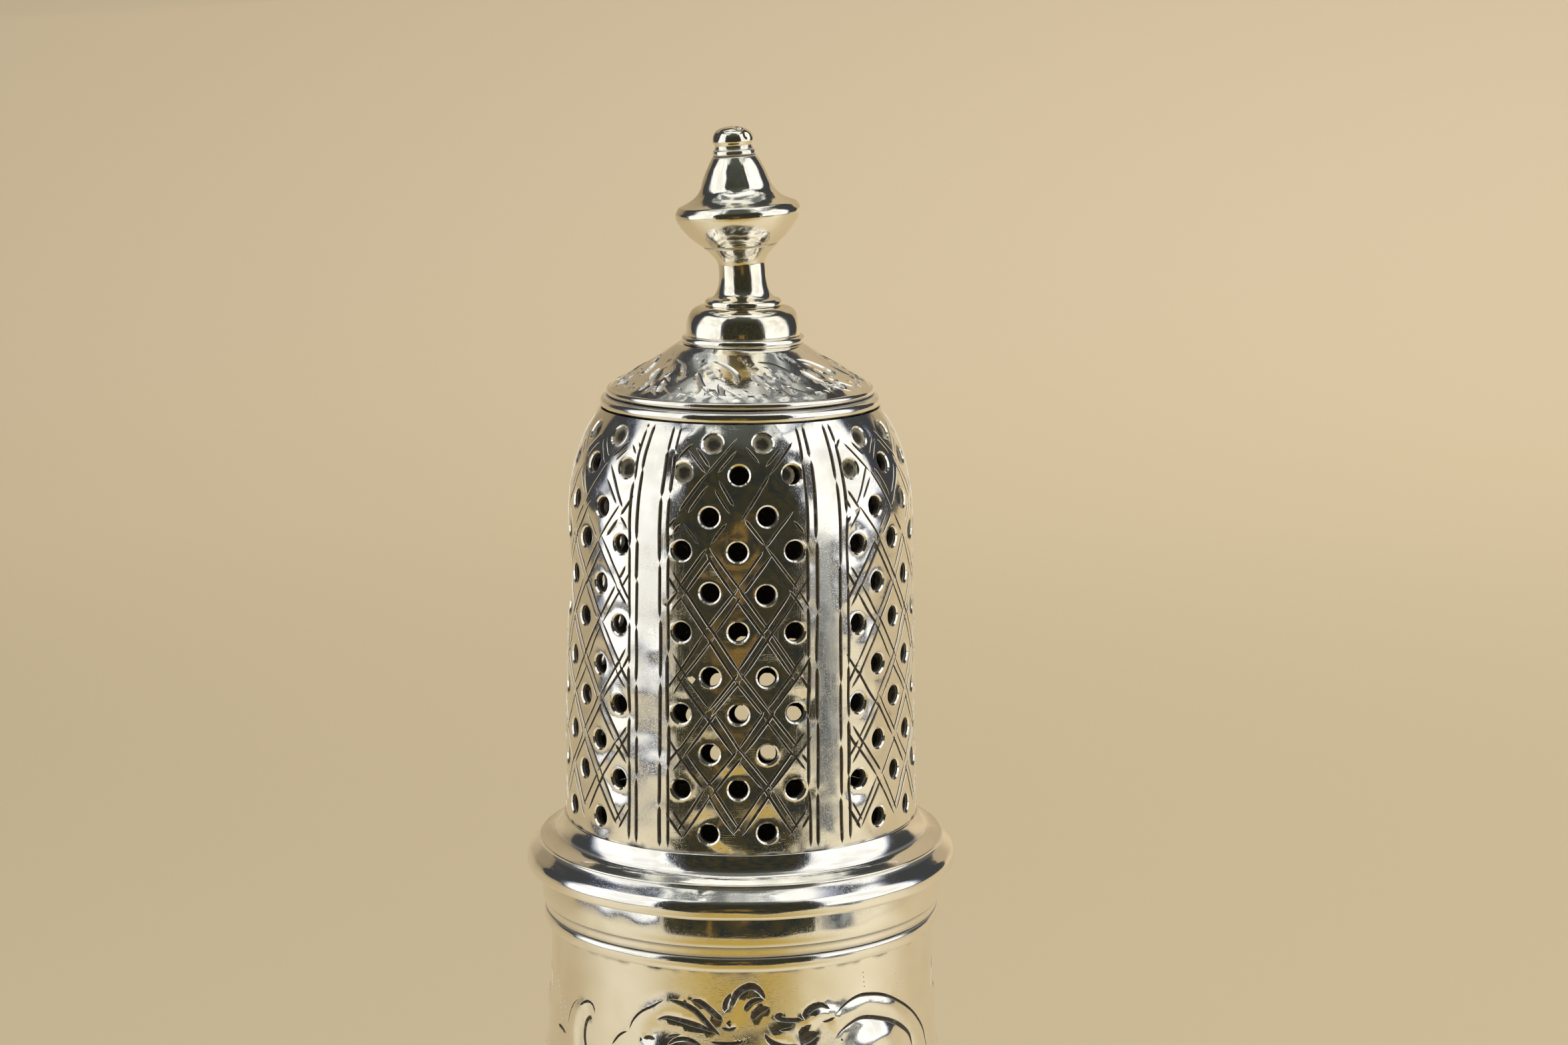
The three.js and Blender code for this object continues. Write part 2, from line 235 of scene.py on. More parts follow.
def outline_normals(outline, closed):
    """The unit vectors to the right of a line of points: outward where it runs up an outer side."""
    if closed:
        along = np.roll(outline, -1, axis=0) - np.roll(outline, 1, axis=0)
    else:
        along = np.gradient(outline, axis=0)
    normal = np.stack([along[:, 1], -along[:, 0]], axis=1)
    return normal / np.maximum(np.linalg.norm(normal, axis=1), 1e-9)[:, None]


def turned(lines, angle):
    """Rows of (radius, height) turned to every angle, as points one angle after another."""
    across = np.stack([np.sin(angle), -np.cos(angle)], axis=1)
    ring = np.einsum("sk,n->snk", across, lines[:, 0])
    height = np.broadcast_to(lines[:, 1], ring.shape[:2])
    return np.concatenate([ring, height[..., None]], axis=2).reshape(-1, 3)


def turned_mesh(outline, segments, relief):
    """Turns an outline into points and faces. An outline that starts and ends on the axis
    is solid, and any other is a closed ring. relief(points) is how far each stands proud."""
    outline = np.array(outline, float)
    solid = outline[0, 0] < 1e-6 and outline[-1, 0] < 1e-6
    rows, normal = outline, outline_normals(outline, not solid)
    if solid:
        rows, normal = rows[1:-1], normal[1:-1]
    angle = np.arange(segments) * 2 * math.pi / segments
    points = turned(rows, angle)
    points = points + turned(normal, angle) * relief(points)[:, None]
    count = len(rows)
    here = np.arange(segments * count).reshape(segments, count)
    there = np.roll(here, -1, axis=0)
    last = count if not solid else count - 1
    following = np.roll(here, -1, axis=1)[:, :last], np.roll(there, -1, axis=1)[:, :last]
    faces = np.stack([here[:, :last], there[:, :last], following[1], following[0]], axis=2)
    faces = faces.reshape(-1, 4).tolist()
    if solid:
        bottom, top = len(points), len(points) + 1
        poles = [[0, 0, outline[0, 1]], [0, 0, outline[-1, 1]]]
        points = np.vstack([points, poles])
        faces += [[bottom, int(b), int(a)] for a, b in zip(here[:, 0], there[:, 0])]
        faces += [[top, int(a), int(b)] for a, b in zip(here[:, -1], there[:, -1])]
    return points, faces


def hollows(outline, segments, solid):
    """Grime gathers in the inner corners of an outline: 1 in the deepest, 0 on the open."""
    outline = np.array(outline, float)
    value = np.zeros(len(outline))
    for i in range(len(outline)):
        inside, outside, a, b, angle = turn_at(outline, i)
        bend = inside[0] * outside[1] - inside[1] * outside[0]
        if bend < 0 and angle > math.radians(8):
            value[i] = min(1.0, angle / math.radians(45))
    reach = np.linalg.norm(outline[:, None] - outline[None], axis=2)
    spread = (value[None] * np.exp(-((reach / 0.28) ** 2))).max(axis=1)
    if solid:
        return np.concatenate([np.tile(spread[1:-1], segments), spread[[0, -1]]])
    return np.tile(spread, segments)


def turned_piece(name, node, outline, segments, relief, soft, step=0.8, right=0.0):
    """A turned wire, ring or casting with worn corners and grime in its hollows. `right` is
    how far off the axis it was soldered on."""
    solid = outline.points[0][0] < 1e-6
    points = softened(outline.points, soft, closed=not solid)
    points = spaced(points, step, closed=not solid)
    mesh_points, faces = turned_mesh(points, segments, relief)
    mesh_points[:, 0] += right
    make_piece(name, node, mesh_points, faces, 0.4 * hollows(points, segments, solid))


# Chased and engraved sheets


class Stroke:
    """A groove along a line of (u, v) points, with its half width and depth at each."""

    def __init__(self, points, width, depth, tail=0.35, head=0.35, bow=0.0):
        points = np.array(points, float)
        length = np.concatenate([[0], np.cumsum(np.linalg.norm(np.diff(points, axis=0), axis=1))])
        count = max(3, int(length[-1] / 0.55) + 2)
        t = np.linspace(0, 1, count)
        line = np.stack([np.interp(t * length[-1], length, points[:, k]) for k in (0, 1)], axis=1)
        if bow:
            side = line[-1] - line[0]
            side = np.array([-side[1], side[0]]) / max(np.linalg.norm(side), 1e-9)
            line = line + np.outer(np.sin(t * math.pi) * bow, side)
        fill = np.minimum(1, np.minimum(t / max(tail, 1e-6), (1 - t) / max(head, 1e-6)))
        fill = np.sqrt(np.clip(fill, 0, 1))
        self.line = line
        self.half = 0.5 * width * fill
        self.depth = depth * fill


def through(*points, steps=8):
    """A smooth line through the points."""
    p = np.array(points, float)
    p = np.vstack([2 * p[0] - p[1], p, 2 * p[-1] - p[-2]])
    result = []
    for a, b, c, d in zip(p, p[1:], p[2:], p[3:]):
        for t in np.linspace(0, 1, steps, endpoint=False):
            square, cube = 2 * a - 5 * b + 4 * c - d, 3 * b - a - 3 * c + d
            result.append(0.5 * (2 * b + (c - a) * t + square * t**2 + cube * t**3))
    result.append(p[-2])
    return np.array(result)


def ring_punch(u, v, radius=0.45, width=0.2, depth=0.07):
    """The mark of a ring punch: a small round groove."""
    angle = np.linspace(0, 2 * math.pi, 13)
    points = np.stack([u + radius * np.cos(angle), v + radius * np.sin(angle)], axis=1)
    return Stroke(points, width, depth, 1e-6, 1e-6)


def dot_punch(u, v, size=0.28, depth=0.07):
    """The mark of a pointed punch."""
    return Stroke([(u, v - size / 2), (u, v + size / 2)], size, depth, 0.5, 0.5)


class Sheet:
    """A turned wall laid flat: u runs round it at the radius `scale`, v up its outline."""

    def __init__(self, outline, scale):
        self.outline = np.array(outline, float)
        gaps = np.linalg.norm(np.diff(self.outline, axis=0), axis=1)
        self.along = np.concatenate([[0], np.cumsum(gaps)])
        self.length = self.along[-1]
        self.normal = outline_normals(self.outline, closed=False)
        self.scale = scale

    def at(self, v, lines):
        return np.interp(v, self.along, lines)

    def radius(self, v):
        return self.at(v, self.outline[:, 0])

    def v_of_height(self, z):
        return np.interp(z, self.outline[:, 1], self.along)

    def place(self, flat, height, centre):
        """Points in space of flat points, standing `height` proud of the wall."""
        u, v = flat[:, 0], flat[:, 1]
        out, up = self.at(v, self.normal[:, 0]), self.at(v, self.normal[:, 1])
        size = np.hypot(out, up)
        r = self.radius(v) + height * out / size
        z = self.at(v, self.outline[:, 1]) + height * up / size
        angle = u / self.scale + centre
        return np.stack([r * np.sin(angle), -r * np.cos(angle), z], axis=1)


def seen(sheet, *points):
    """Flat places on a sheet of points given in the photograph's pixels, read one by one."""
    tilt = math.radians(CAMERA_TILT)
    eye = np.array(CAMERA_PLACE) / MM
    places = []
    for x, y in points:
        right, down = (x - PHOTO_WIDTH / 2) / FOCAL_PIXELS, (y - PHOTO_HEIGHT / 2) / FOCAL_PIXELS
        away, rise = math.cos(tilt) - down * math.sin(tilt), -math.sin(tilt) - down * math.cos(tilt)
        ray = np.array([right, away, rise])
        v = sheet.length * 0.7
        for _ in range(8):
            a, b, c = ray[:2] @ ray[:2], eye[:2] @ ray[:2], eye[:2] @ eye[:2] - sheet.radius(v) ** 2
            hit = eye - ray * (b + math.sqrt(max(b * b - a * c, 0))) / a
            v = sheet.v_of_height(hit[2])
        places.append((sheet.scale * math.atan2(hit[0], -hit[1]), float(v)))
    return places


def frame_points(half, length, columns, rows):
    """The border of a flat sheet, the same on its left and right sides."""
    across = np.linspace(-half, half, columns + 1)
    along = np.linspace(0, length, rows + 1)
    bottom = [(u, 0.0) for u in across[:-1]]
    right = [(half, v) for v in along[:-1]]
    top = [(u, length) for u in across[:0:-1]]
    left = [(-half, v) for v in along[:0:-1]]
    return np.array(bottom + right + top + left)


def grid_points(half, length, step, margin):
    """A staggered grid inside the border. step is a number, or a function of v."""
    points = []
    v, row = margin, 0
    while v < length - margin:
        gap = step(v) if callable(step) else step
        u = np.arange(-half + margin + (row % 2) * gap / 2, half - margin, gap)
        points.append(np.stack([u, np.full(len(u), v)], axis=1))
        v += gap * 0.87
        row += 1
    return np.vstack(points)


def stroke_edges(stroke):
    """The centre and both edges of a groove, each a chain of points."""
    half = np.where(stroke.half > 0.03, stroke.half, 0.0)[:, None]
    aside = half * outline_normals(stroke.line, closed=False)
    return stroke.line, stroke.line - aside, stroke.line + aside


def triangulated(border, grid, strokes, holes, clear=0.3):
    """Triangles of a flat sheet whose edges follow its grooves and the rings of its holes.
    A hole is its rings, its centre and the radius that they fill."""
    chains = [(border, True)] + [(chain, False) for stroke in strokes for chain in stroke_edges(stroke)]
    chains += [(ring, True) for rings, _, _ in holes for ring in rings]
    near = [np.column_stack([stroke.line, stroke.half + clear]) for stroke in strokes]
    near = np.vstack(near + [np.array([[*centre, radius + clear * 0.7]]) for _, centre, radius in holes])
    for low in range(0, len(near), 400):
        part = near[None, low : low + 400]
        gap = np.linalg.norm(grid[:, None] - part[..., :2], axis=2)
        grid = grid[(gap > part[..., 2]).all(axis=1)]
    edges, total = [], 0
    for chain, closed in chains:
        edges += [(total + i, total + i + 1) for i in range(len(chain) - 1)]
        total += len(chain)
        if closed:
            edges.append((total - 1, total - len(chain)))
    flat = np.vstack([chain for chain, _ in chains] + [grid])
    result = delaunay_2d_cdt(flat.tolist(), edges, [], 0, 1e-4, False)
    return np.array([tuple(p) for p in result[0]]), np.array(result[2])


def near_line(flat, line, reach):
    """Which points are near a line, and for each part of it how far along they are, from 0
    to 1, and how far away."""
    low, high = line.min(axis=0) - reach, line.max(axis=0) + reach
    chosen = np.nonzero(((flat >= low) & (flat <= high)).all(axis=1))[0]
    p, parts = flat[chosen], []
    for a, b in zip(line, line[1:]):
        step = b - a
        t = np.clip((p - a) @ step / max(step @ step, 1e-12), 0, 1)
        parts.append((t, np.linalg.norm(p - a - t[:, None] * step, axis=1)))
    return chosen, parts


def groove_depth(flat, strokes):
    """How deep the grooves are at each flat point."""
    deep = np.zeros(len(flat))
    for stroke in strokes:
        chosen, parts = near_line(flat, stroke.line, stroke.half.max() + 0.02)
        for i, (t, gap) in enumerate(parts):
            half, depth = (k[i] + (k[i + 1] - k[i]) * t for k in (stroke.half, stroke.depth))
            cut = depth * np.clip(1 - gap / np.maximum(half, 1e-4), 0, 1)
            deep[chosen] = np.maximum(deep[chosen], cut)
    return deep


class Bosses:
    """Raised work: soft swellings and ribs pushed out from behind the sheet."""

    def __init__(self):
        self.places = []
        self.ribs = []

    def rib(self, line, half, height):
        """A round rib along a line, which runs out at both ends."""
        self.ribs.append((np.array(line, float), half, height))

    def join(self, more):
        """Adds what other bosses raise."""
        self.places += more.places
        self.ribs += more.ribs

    def follow(self, sheet):
        """Takes the places from heights to lengths along the sheet."""
        self.places = [((c[0], float(sheet.v_of_height(c[1]))), *rest) for c, *rest in self.places]
        for line, _, _ in self.ribs:
            line[:, 1] = sheet.v_of_height(line[:, 1])

    def add(self, centre, across, along, height, turn=0.0, flat=2.0):
        self.places.append((centre, across, along, height, math.radians(turn), flat))

    def height(self, flat):
        total = np.zeros(len(flat))
        for centre, across, along, height, turn, power in self.places:
            p = flat - np.array(centre)
            a = (p[:, 0] * math.cos(turn) + p[:, 1] * math.sin(turn)) / across
            b = (p[:, 1] * math.cos(turn) - p[:, 0] * math.sin(turn)) / along
            total += height * np.exp(-((a * a + b * b) ** (power / 2)) * 1.4)
        for line, half, height in self.ribs:
            chosen, parts = near_line(flat, line, half)
            best = np.zeros(len(chosen))
            for i, (t, gap) in enumerate(parts):
                end = np.sin(math.pi * np.clip((i + t) / len(parts), 0.0, 1.0)) ** 0.5
                best = np.maximum(best, height * end * np.clip(1 - (gap / half) ** 2, 0, 1) ** 1.5)
            total[chosen] += best
        return total


def chased_sheet(sheet, strokes, bosses, relief, columns, rows, step, edge=1.0, dirt=1.0):
    """A sheet that goes once round the axis, chased from outside over bosses raised from
    inside. Its first and last rows stay round, so that turned faces can be joined to them."""
    half = math.pi * sheet.scale
    strokes = [s for s in strokes if abs(s.line[:, 0]).max() < half - 0.4]
    strokes = [s for s in strokes if 0.1 < s.line[:, 1].min() and s.line[:, 1].max() < sheet.length - 0.1]
    border = frame_points(half, sheet.length, columns, rows)
    flat, faces = triangulated(border, grid_points(half, sheet.length, step, 0.35), strokes, [])
    deep = groove_depth(flat, strokes)
    level = sheet.place(flat, np.zeros(len(flat)), 0.0)
    inside = np.clip(np.minimum(flat[:, 1], sheet.length - flat[:, 1]) / edge, 0, 1)
    height = (relief(level) + bosses.height(flat)) * inside - deep
    points = sheet.place(flat, height, 0.0)
    return points, faces, dirt * np.clip(deep / 0.12, 0, 1)


def band(top, low):
    """The faces between two rings of as many points."""
    quads = np.stack([top, np.roll(top, -1), np.roll(low, -1), low], axis=1)
    return quads[:, [0, 1, 2, 0, 2, 3]].reshape(-1, 3)


def turned_strip(outline, segments):
    """Triangles of an open outline turned about the axis, to close a chased sheet. Its
    angles are those of the sheet's border."""
    outline = np.array(outline, float)
    points = turned(outline, np.linspace(-math.pi, math.pi, segments + 1))
    here = np.arange(len(points)).reshape(segments + 1, len(outline))
    a, b, c, d = here[:-1, :-1], here[1:, :-1], here[1:, 1:], here[:-1, 1:]
    faces = [np.stack(corners, axis=2).reshape(-1, 3) for corners in ([a, b, c], [a, c, d])]
    return points, np.concatenate(faces), np.full(len(points), 0.11)


def sheet_piece(name, node, parts, **looks):
    """A piece of sheets that meet in the same border points."""
    points, faces, marks, base = [], [], [], 0
    for part_points, part_faces, part_marks in parts:
        points.append(part_points)
        marks.append(part_marks)
        faces.append(part_faces + base)
        base += len(part_points)
    points, marks, faces = np.vstack(points), np.concatenate(marks), np.vstack(faces)
    key = np.round(points / 2e-4).astype(np.int64)
    _, first, same = np.unique(key, axis=0, return_index=True, return_inverse=True)
    faces = same.reshape(-1)[faces]
    whole = (faces != np.roll(faces, -1, axis=1)).all(axis=1)
    make_piece(name, node, points[first], faces[whole].tolist(), marks[first], **looks)


# Materials


class Shader:
    """A material's node tree with one Principled shader."""

    def __init__(self, name):
        self.material = bpy.data.materials.new(name)
        self.material.use_nodes = True
        self.tree = self.material.node_tree
        self.surface = self.tree.nodes["Principled BSDF"]
        self.place = self.add("ShaderNodeTexCoord").outputs["Object"]

    def add(self, kind, inputs=None, **settings):
        node = self.tree.nodes.new(kind)
        for key, value in settings.items():
            setattr(node, key, value)
        for key, value in (inputs or {}).items():
            self.put(node.inputs[key], value)
        return node

    def put(self, socket, value):
        if isinstance(value, bpy.types.NodeSocket):
            self.tree.links.new(value, socket)
        else:
            socket.default_value = value

    def math(self, operation, a, b=0.0, clamp=False):
        node = self.add("ShaderNodeMath", {0: a, 1: b}, operation=operation)
        node.use_clamp = clamp
        return node.outputs[0]

    def noise(self, per_mm, detail=3.0, roughness=0.5, stretch=(1, 1, 1), turn=(0, 0, 0), distortion=0.0):
        """A noise from 0 to 1, per_mm waves to the mm."""
        scale = [k * per_mm / MM for k in stretch]
        place = self.add("ShaderNodeMapping", {"Vector": self.place, "Rotation": turn, "Scale": scale})
        inputs = {"Vector": place.outputs[0], "Scale": 1.0, "Detail": detail}
        inputs.update({"Roughness": roughness, "Distortion": distortion})
        return self.add("ShaderNodeTexNoise", inputs).outputs["Fac"]

    def ramp(self, value, low, high, to_low=0.0, to_high=1.0):
        inputs = {"Value": value, "From Min": low, "From Max": high, "To Min": to_low, "To Max": to_high}
        return self.add("ShaderNodeMapRange", inputs, interpolation_type="SMOOTHSTEP").outputs[0]

    def mix(self, amount, a, b):
        node = self.add("ShaderNodeMix", data_type="RGBA")
        for socket, value in ((0, amount), (6, a), (7, b)):
            self.put(node.inputs[socket], value)
        return node.outputs[2]

    def mark(self, name):
        return self.add("ShaderNodeAttribute", attribute_name=name).outputs["Fac"]


# Tones of the silver, of the dirt in its cuts, which also paints the shade on the dome's inside, and of the
# old polish in the holes.
BRIGHT = (0.95, 0.93, 0.87)
WARM = (0.95, 0.91, 0.8)
SATIN = (0.86, 0.82, 0.72)
TARNISH = (0.72, 0.6, 0.38, 1)
DIRT_AND_SHADE = ((0.02, 0.017, 0.012, 1), (0.085, 0.066, 0.042, 1))
OLD_POLISH = ((0.1, 0.085, 0.055, 1), (0.4, 0.37, 0.27, 1))
HOLE_MIDDLE = (0.022, 0.017, 0.01, 1)

# How each set of fine scratches is turned, and how the noise that makes it is stretched.
SCRATCHES = (
    ((0.3, 0.5, 0.2), (9, 9, 0.35)),
    ((1.1, 0.2, 0.9), (0.4, 9, 9)),
    ((0.4, 1.2, 0.1), (9, 0.5, 9)),
)


def silver(name, tint, polish, tarnish, scratches, pits):
    """Aged silver: clouds of tarnish, fine scratches and pits, and dark dirt where `grime_and_shade` is
    marked, which on the dome's inside is painted shade.
    """
    s = Shader(name)
    clouds = s.noise(0.16, detail=4, distortion=0.6)
    specks = s.noise(1.6, detail=3)
    worn = s.ramp(clouds, 0.35, 0.75)
    stain = s.math("MULTIPLY", worn, tarnish)
    colour = s.mix(stain, (*tint, 1), TARNISH)
    # The mark darkens dirt in cuts and hollows, and paints shade on the dome's inside.
    grime_and_shade = s.ramp(s.mark("grime_and_shade"), 0.04, 0.36)
    uneven = s.ramp(s.noise(1.6, detail=4), 0.25, 0.5, 0.82, 1.0)
    grime_and_shade = s.math("MULTIPLY", grime_and_shade, uneven, clamp=True)
    dark = s.mix(s.ramp(specks, 0.3, 0.7), *DIRT_AND_SHADE)
    s.put(s.surface.inputs["Base Color"], s.mix(grime_and_shade, colour, dark))
    s.put(s.surface.inputs["Metallic"], s.math("SUBTRACT", 1.0, s.math("MULTIPLY", grime_and_shade, 0.85)))

    lines = []
    for turn, stretch in SCRATCHES:
        lines.append(s.ramp(s.noise(1.0, detail=2, stretch=stretch, turn=turn), 0.58, 0.75))
    scratched = s.math("MAXIMUM", s.math("MAXIMUM", lines[0], lines[1]), lines[2])
    hazy = s.ramp(s.noise(0.5, detail=5, roughness=0.6), 0.4, 0.8)
    rough = s.math("ADD", polish, s.math("MULTIPLY", worn, 0.05))
    rough = s.math("ADD", rough, s.math("MULTIPLY", hazy, 0.05))
    rough = s.math("ADD", rough, s.math("MULTIPLY", scratched, 0.06 * scratches))
    rough = s.math("ADD", rough, s.math("MULTIPLY", grime_and_shade, 0.45), clamp=True)
    s.put(s.surface.inputs["Roughness"], rough)

    holes = s.add("ShaderNodeTexVoronoi", {"Vector": s.place, "Scale": 1.1 / MM, "Randomness": 1.0})
    pit = s.ramp(holes.outputs["Distance"], 0.02, 0.14, 1.0, 0.0)
    pit = s.math("MULTIPLY", pit, s.ramp(s.noise(0.35), 0.52, 0.66))
    height = s.math("MULTIPLY", scratched, -0.16 * scratches)
    height = s.math("SUBTRACT", height, s.math("MULTIPLY", pit, pits))
    height = s.math("ADD", height, s.math("MULTIPLY", specks, 0.12))
    height = s.math("ADD", height, s.math("MULTIPLY", s.math("MULTIPLY", grime_and_shade, s.noise(5.0)), 0.8))
    bump = s.add("ShaderNodeBump", {"Strength": 0.5, "Distance": 0.02 * MM, "Height": height})
    s.put(s.surface.inputs["Normal"], bump.outputs[0])
    return s.material


def crust(name):
    """Old polish and sugar that has set hard in a hole, darkest in its middle."""
    s = Shader(name)
    blotch = s.noise(1.4, detail=5, roughness=0.65)
    tone = s.mix(s.ramp(blotch, 0.3, 0.72), *OLD_POLISH)
    deep = s.math("ADD", s.mark("grime_and_shade"), s.math("MULTIPLY", s.math("SUBTRACT", blotch, 0.5), 1.2))
    tone = s.mix(s.ramp(deep, 0.25, 0.8), tone, HOLE_MIDDLE)
    s.put(s.surface.inputs["Base Color"], tone)
    s.put(s.surface.inputs["Roughness"], s.ramp(blotch, 0.2, 0.8, 0.55, 0.85))
    bump = s.add("ShaderNodeBump", {"Strength": 0.8, "Distance": 0.12 * MM, "Height": s.noise(3.0, detail=4)})
    s.put(s.surface.inputs["Normal"], bump.outputs[0])
    return s.material


# Each silver by its tone, polish, tarnish, scratches and pits.
SILVERS = {
    "raised_silver": silver("raised_silver", BRIGHT, 0.07, 0.22, 1.0, 0.3),
    "wire_silver": silver("wire_silver", BRIGHT, 0.055, 0.18, 0.8, 0.2),
    "cast_silver": silver("cast_silver", WARM, 0.06, 0.3, 0.7, 0.6),
    "inner_silver": silver("inner_silver", SATIN, 0.2, 0.5, 1.6, 0.3),
}
CRUST = crust("hole_crust")


# The pierced dome

# The mean radius that the wall is laid flat with, and half of a panel's width.
DOME_SCALE = 19.7
PANELS = 6
PANEL_HALF = DOME_SCALE * math.pi / PANELS
COLUMN = DOME_SCALE * math.radians(9.13)
HOLE = 1.09
HOLE_SIDES = 22
RIM_CREST = 1.27
RIM_FOOT = 1.48
DOME_WALL = 1.0

# The axis and the front panel's rows of holes in the photograph.
AXIS_PIXEL = 1110
ROW_PIXELS = (1252, 1187, 1133, 1073, 1018, 951, 892, 830, 777, 713, 666)
ROW_COUNT = len(ROW_PIXELS)

# The pattern of the panel at the back sits a little lower.
BACK_PANEL = 3
BACK_LOWER = 0.72

# Engraved lines: how far the lattice reaches to the sides, in columns, the row above which
# it is worn, half of the gap between two lines, and where the border lines run.
LATTICE_HALF = 2.46
WORN_ROW = 6.5
LINE_GAP = 0.42
BORDER_LINES = (-8.84, -7.8, 7.8, 8.84)

# Knocks: place, radius and depth.
DOME_KNOCKS = (((-19.6, -1.0, 130.0), 4.2, 0.75), ((-17.5, -9.5, 119.0), 3.0, 0.12))
FLANGE_PIT = (((-3.8, -23.2, 99.1), 0.45, 0.2),)
FINIAL_KNOCKS = (
    ((0.7, -0.9, 179.7), 0.5, 0.4),
    ((1.5, -1.5, 178.9), 0.5, 0.22),
    ((-1.9, -1.1, 179.0), 0.8, 0.16),
)


def dome_sheet():
    line = Outline(20.0, DOME_Z).to(19.4, 136.4).bend((19.253, 144.3), (15.7, RING_Z), steps=40)
    return Sheet(spaced(line.points, 1.0, closed=False), DOME_SCALE)


def row_heights(sheet):
    """Lengths up the sheet of the rows of holes, from those of the front panel."""
    return np.array([v for _, v in seen(sheet, *[(AXIS_PIXEL, y) for y in ROW_PIXELS])])


def holes_of_panel(rows, rng):
    """The holes' centres in flat mm, staggered in rows of two and three."""
    centres = []
    for j, v in enumerate(rows):
        for i in (-1, 1) if j % 2 == 0 else (-2, 0, 2):
            centres.append((i * COLUMN + rng.normal(0, 0.07), v + rng.normal(0, 0.07), j, i))
    return centres


def lattice_strokes(rows, rng):
    """The double lines that cross between the holes, cut by hand in short strokes."""
    strokes = []
    steps = np.arange(ROW_COUNT)

    def flat(i, j):
        below, above = min(0, j), max(0, j - ROW_COUNT + 1)
        pitch = rows[1] - rows[0]
        return np.array([i * COLUMN, np.interp(j, steps, rows) + (below + above) * pitch])

    def one_cut(a, b, ja, jb, side):
        """One line of a pair, from column a and row ja to b and jb, or nothing."""
        high = (ja + jb) / 2 > WORN_ROW
        if rng.random() < (0.14 if high else 0.04):
            return
        short = high and rng.random() < 0.6
        start = rng.uniform(0.1, 0.3) if short else rng.uniform(-0.16, 0.1)
        end = rng.uniform(0.7, 0.9) if short else rng.uniform(0.92, 1.16)
        ia, ib = np.clip([a + (b - a) * start, a + (b - a) * end], -LATTICE_HALF, LATTICE_HALF)
        if ib - ia < 0.25:
            return
        first, last = (flat(i, ja + (i - a) / (b - a) * (jb - ja)) for i in (ia, ib))
        along = (last - first) / np.linalg.norm(last - first)
        across = np.array([-along[1], along[0]])
        ends = [p + across * (side * LINE_GAP + rng.normal(0, 0.07)) for p in (first, last)]
        if min(e[1] for e in ends) < 0.25 or max(e[1] for e in ends) > rows[-1] + 1.9:
            ends = [np.array([e[0], np.clip(e[1], 0.3, rows[-1] + 1.8)]) for e in ends]
        if rng.random() < 0.5:
            ends.reverse()
        width = rng.uniform(0.3, 0.42)
        depth = width * rng.uniform(0.42, 0.55)
        strokes.append(Stroke(ends, width, depth, 0.3, 0.12, rng.normal(0, 0.03)))

    for lean in (1, -1):
        for c in range(-14, 16, 2):
            cuts = [i for i in range(-3, 4) if -0.6 <= lean * (i - c) <= ROW_COUNT - 0.4]
            for a, b in zip(cuts, cuts[1:]):
                for side in (-1, 1):
                    one_cut(a, b, lean * (a - c), lean * (b - c), side)
    return strokes


def border_strokes(length, rng):
    """The double lines on both sides of a panel, cut in long strokes end to end."""
    strokes = []
    for u in BORDER_LINES:
        v = rng.uniform(0.3, 0.6)
        while v < length - 0.8:
            end = min(length - 0.3, v + rng.uniform(4.5, 9.5))
            points = [(u + rng.normal(0, 0.05), v), (u + rng.normal(0, 0.05), end)]
            width = rng.uniform(0.4, 0.5)
            strokes.append(Stroke(points, width, width * 0.45, 0.12, 0.1, rng.normal(0, 0.03)))
            v = end + rng.uniform(-0.35, 0.25)
    return strokes


def dome_relief(space):
    """Hand work and use: long waves, small facets of planishing, and the knocks."""
    return wavy((0.022, 11, 1), (0.01, 4.2, 2), (0.005, 1.9, 3))(space) - dents(space, DOME_KNOCKS)


def hole_rings(sheet, hole, radii):
    """A hole's rings, which are round on the dome, its centre and its largest radius."""
    u, v = hole[:2]
    angle = np.arange(HOLE_SIDES) * 2 * math.pi / HOLE_SIDES
    widen = DOME_SCALE / sheet.radius(v)
    rings = [np.stack([u + r * widen * np.sin(angle), v + r * np.cos(angle)], axis=1) for r in radii]
    return rings, (u, v), radii[-1]


def from_hole(sheet, flat, hole):
    """How far the points are from a hole's middle."""
    u, v = hole[:2]
    return np.hypot((flat[:, 0] - u) / (DOME_SCALE / sheet.radius(v)), flat[:, 1] - v)


def pierced(sheet, border, grid, strokes, holes, radii):
    """A flat panel with open holes: its points and faces."""
    flat, faces = triangulated(border, grid, strokes, [hole_rings(sheet, hole, radii) for hole in holes])
    middle = flat[faces].mean(axis=1)
    return flat, faces[~np.any([from_hole(sheet, middle, hole) < HOLE * 0.97 for hole in holes], axis=0)]


def hole_walls(sheet, holes, border, flat, flat_inside):
    """Faces between outside and inside: the holes' walls, and the lower and upper edge."""

    def both(wanted):
        near = [np.linalg.norm(cloud[None] - wanted[:, None], axis=2) for cloud in (flat, flat_inside)]
        return near[0].argmin(axis=1), near[1].argmin(axis=1) + len(flat)

    walls = [band(*both(hole_rings(sheet, hole, (HOLE,))[0][0])) for hole in holes]
    level = border[:, 1] == np.roll(border[:, 1], -1)
    return walls + [band(*both(border))[np.repeat(level, 2), ::-1]]


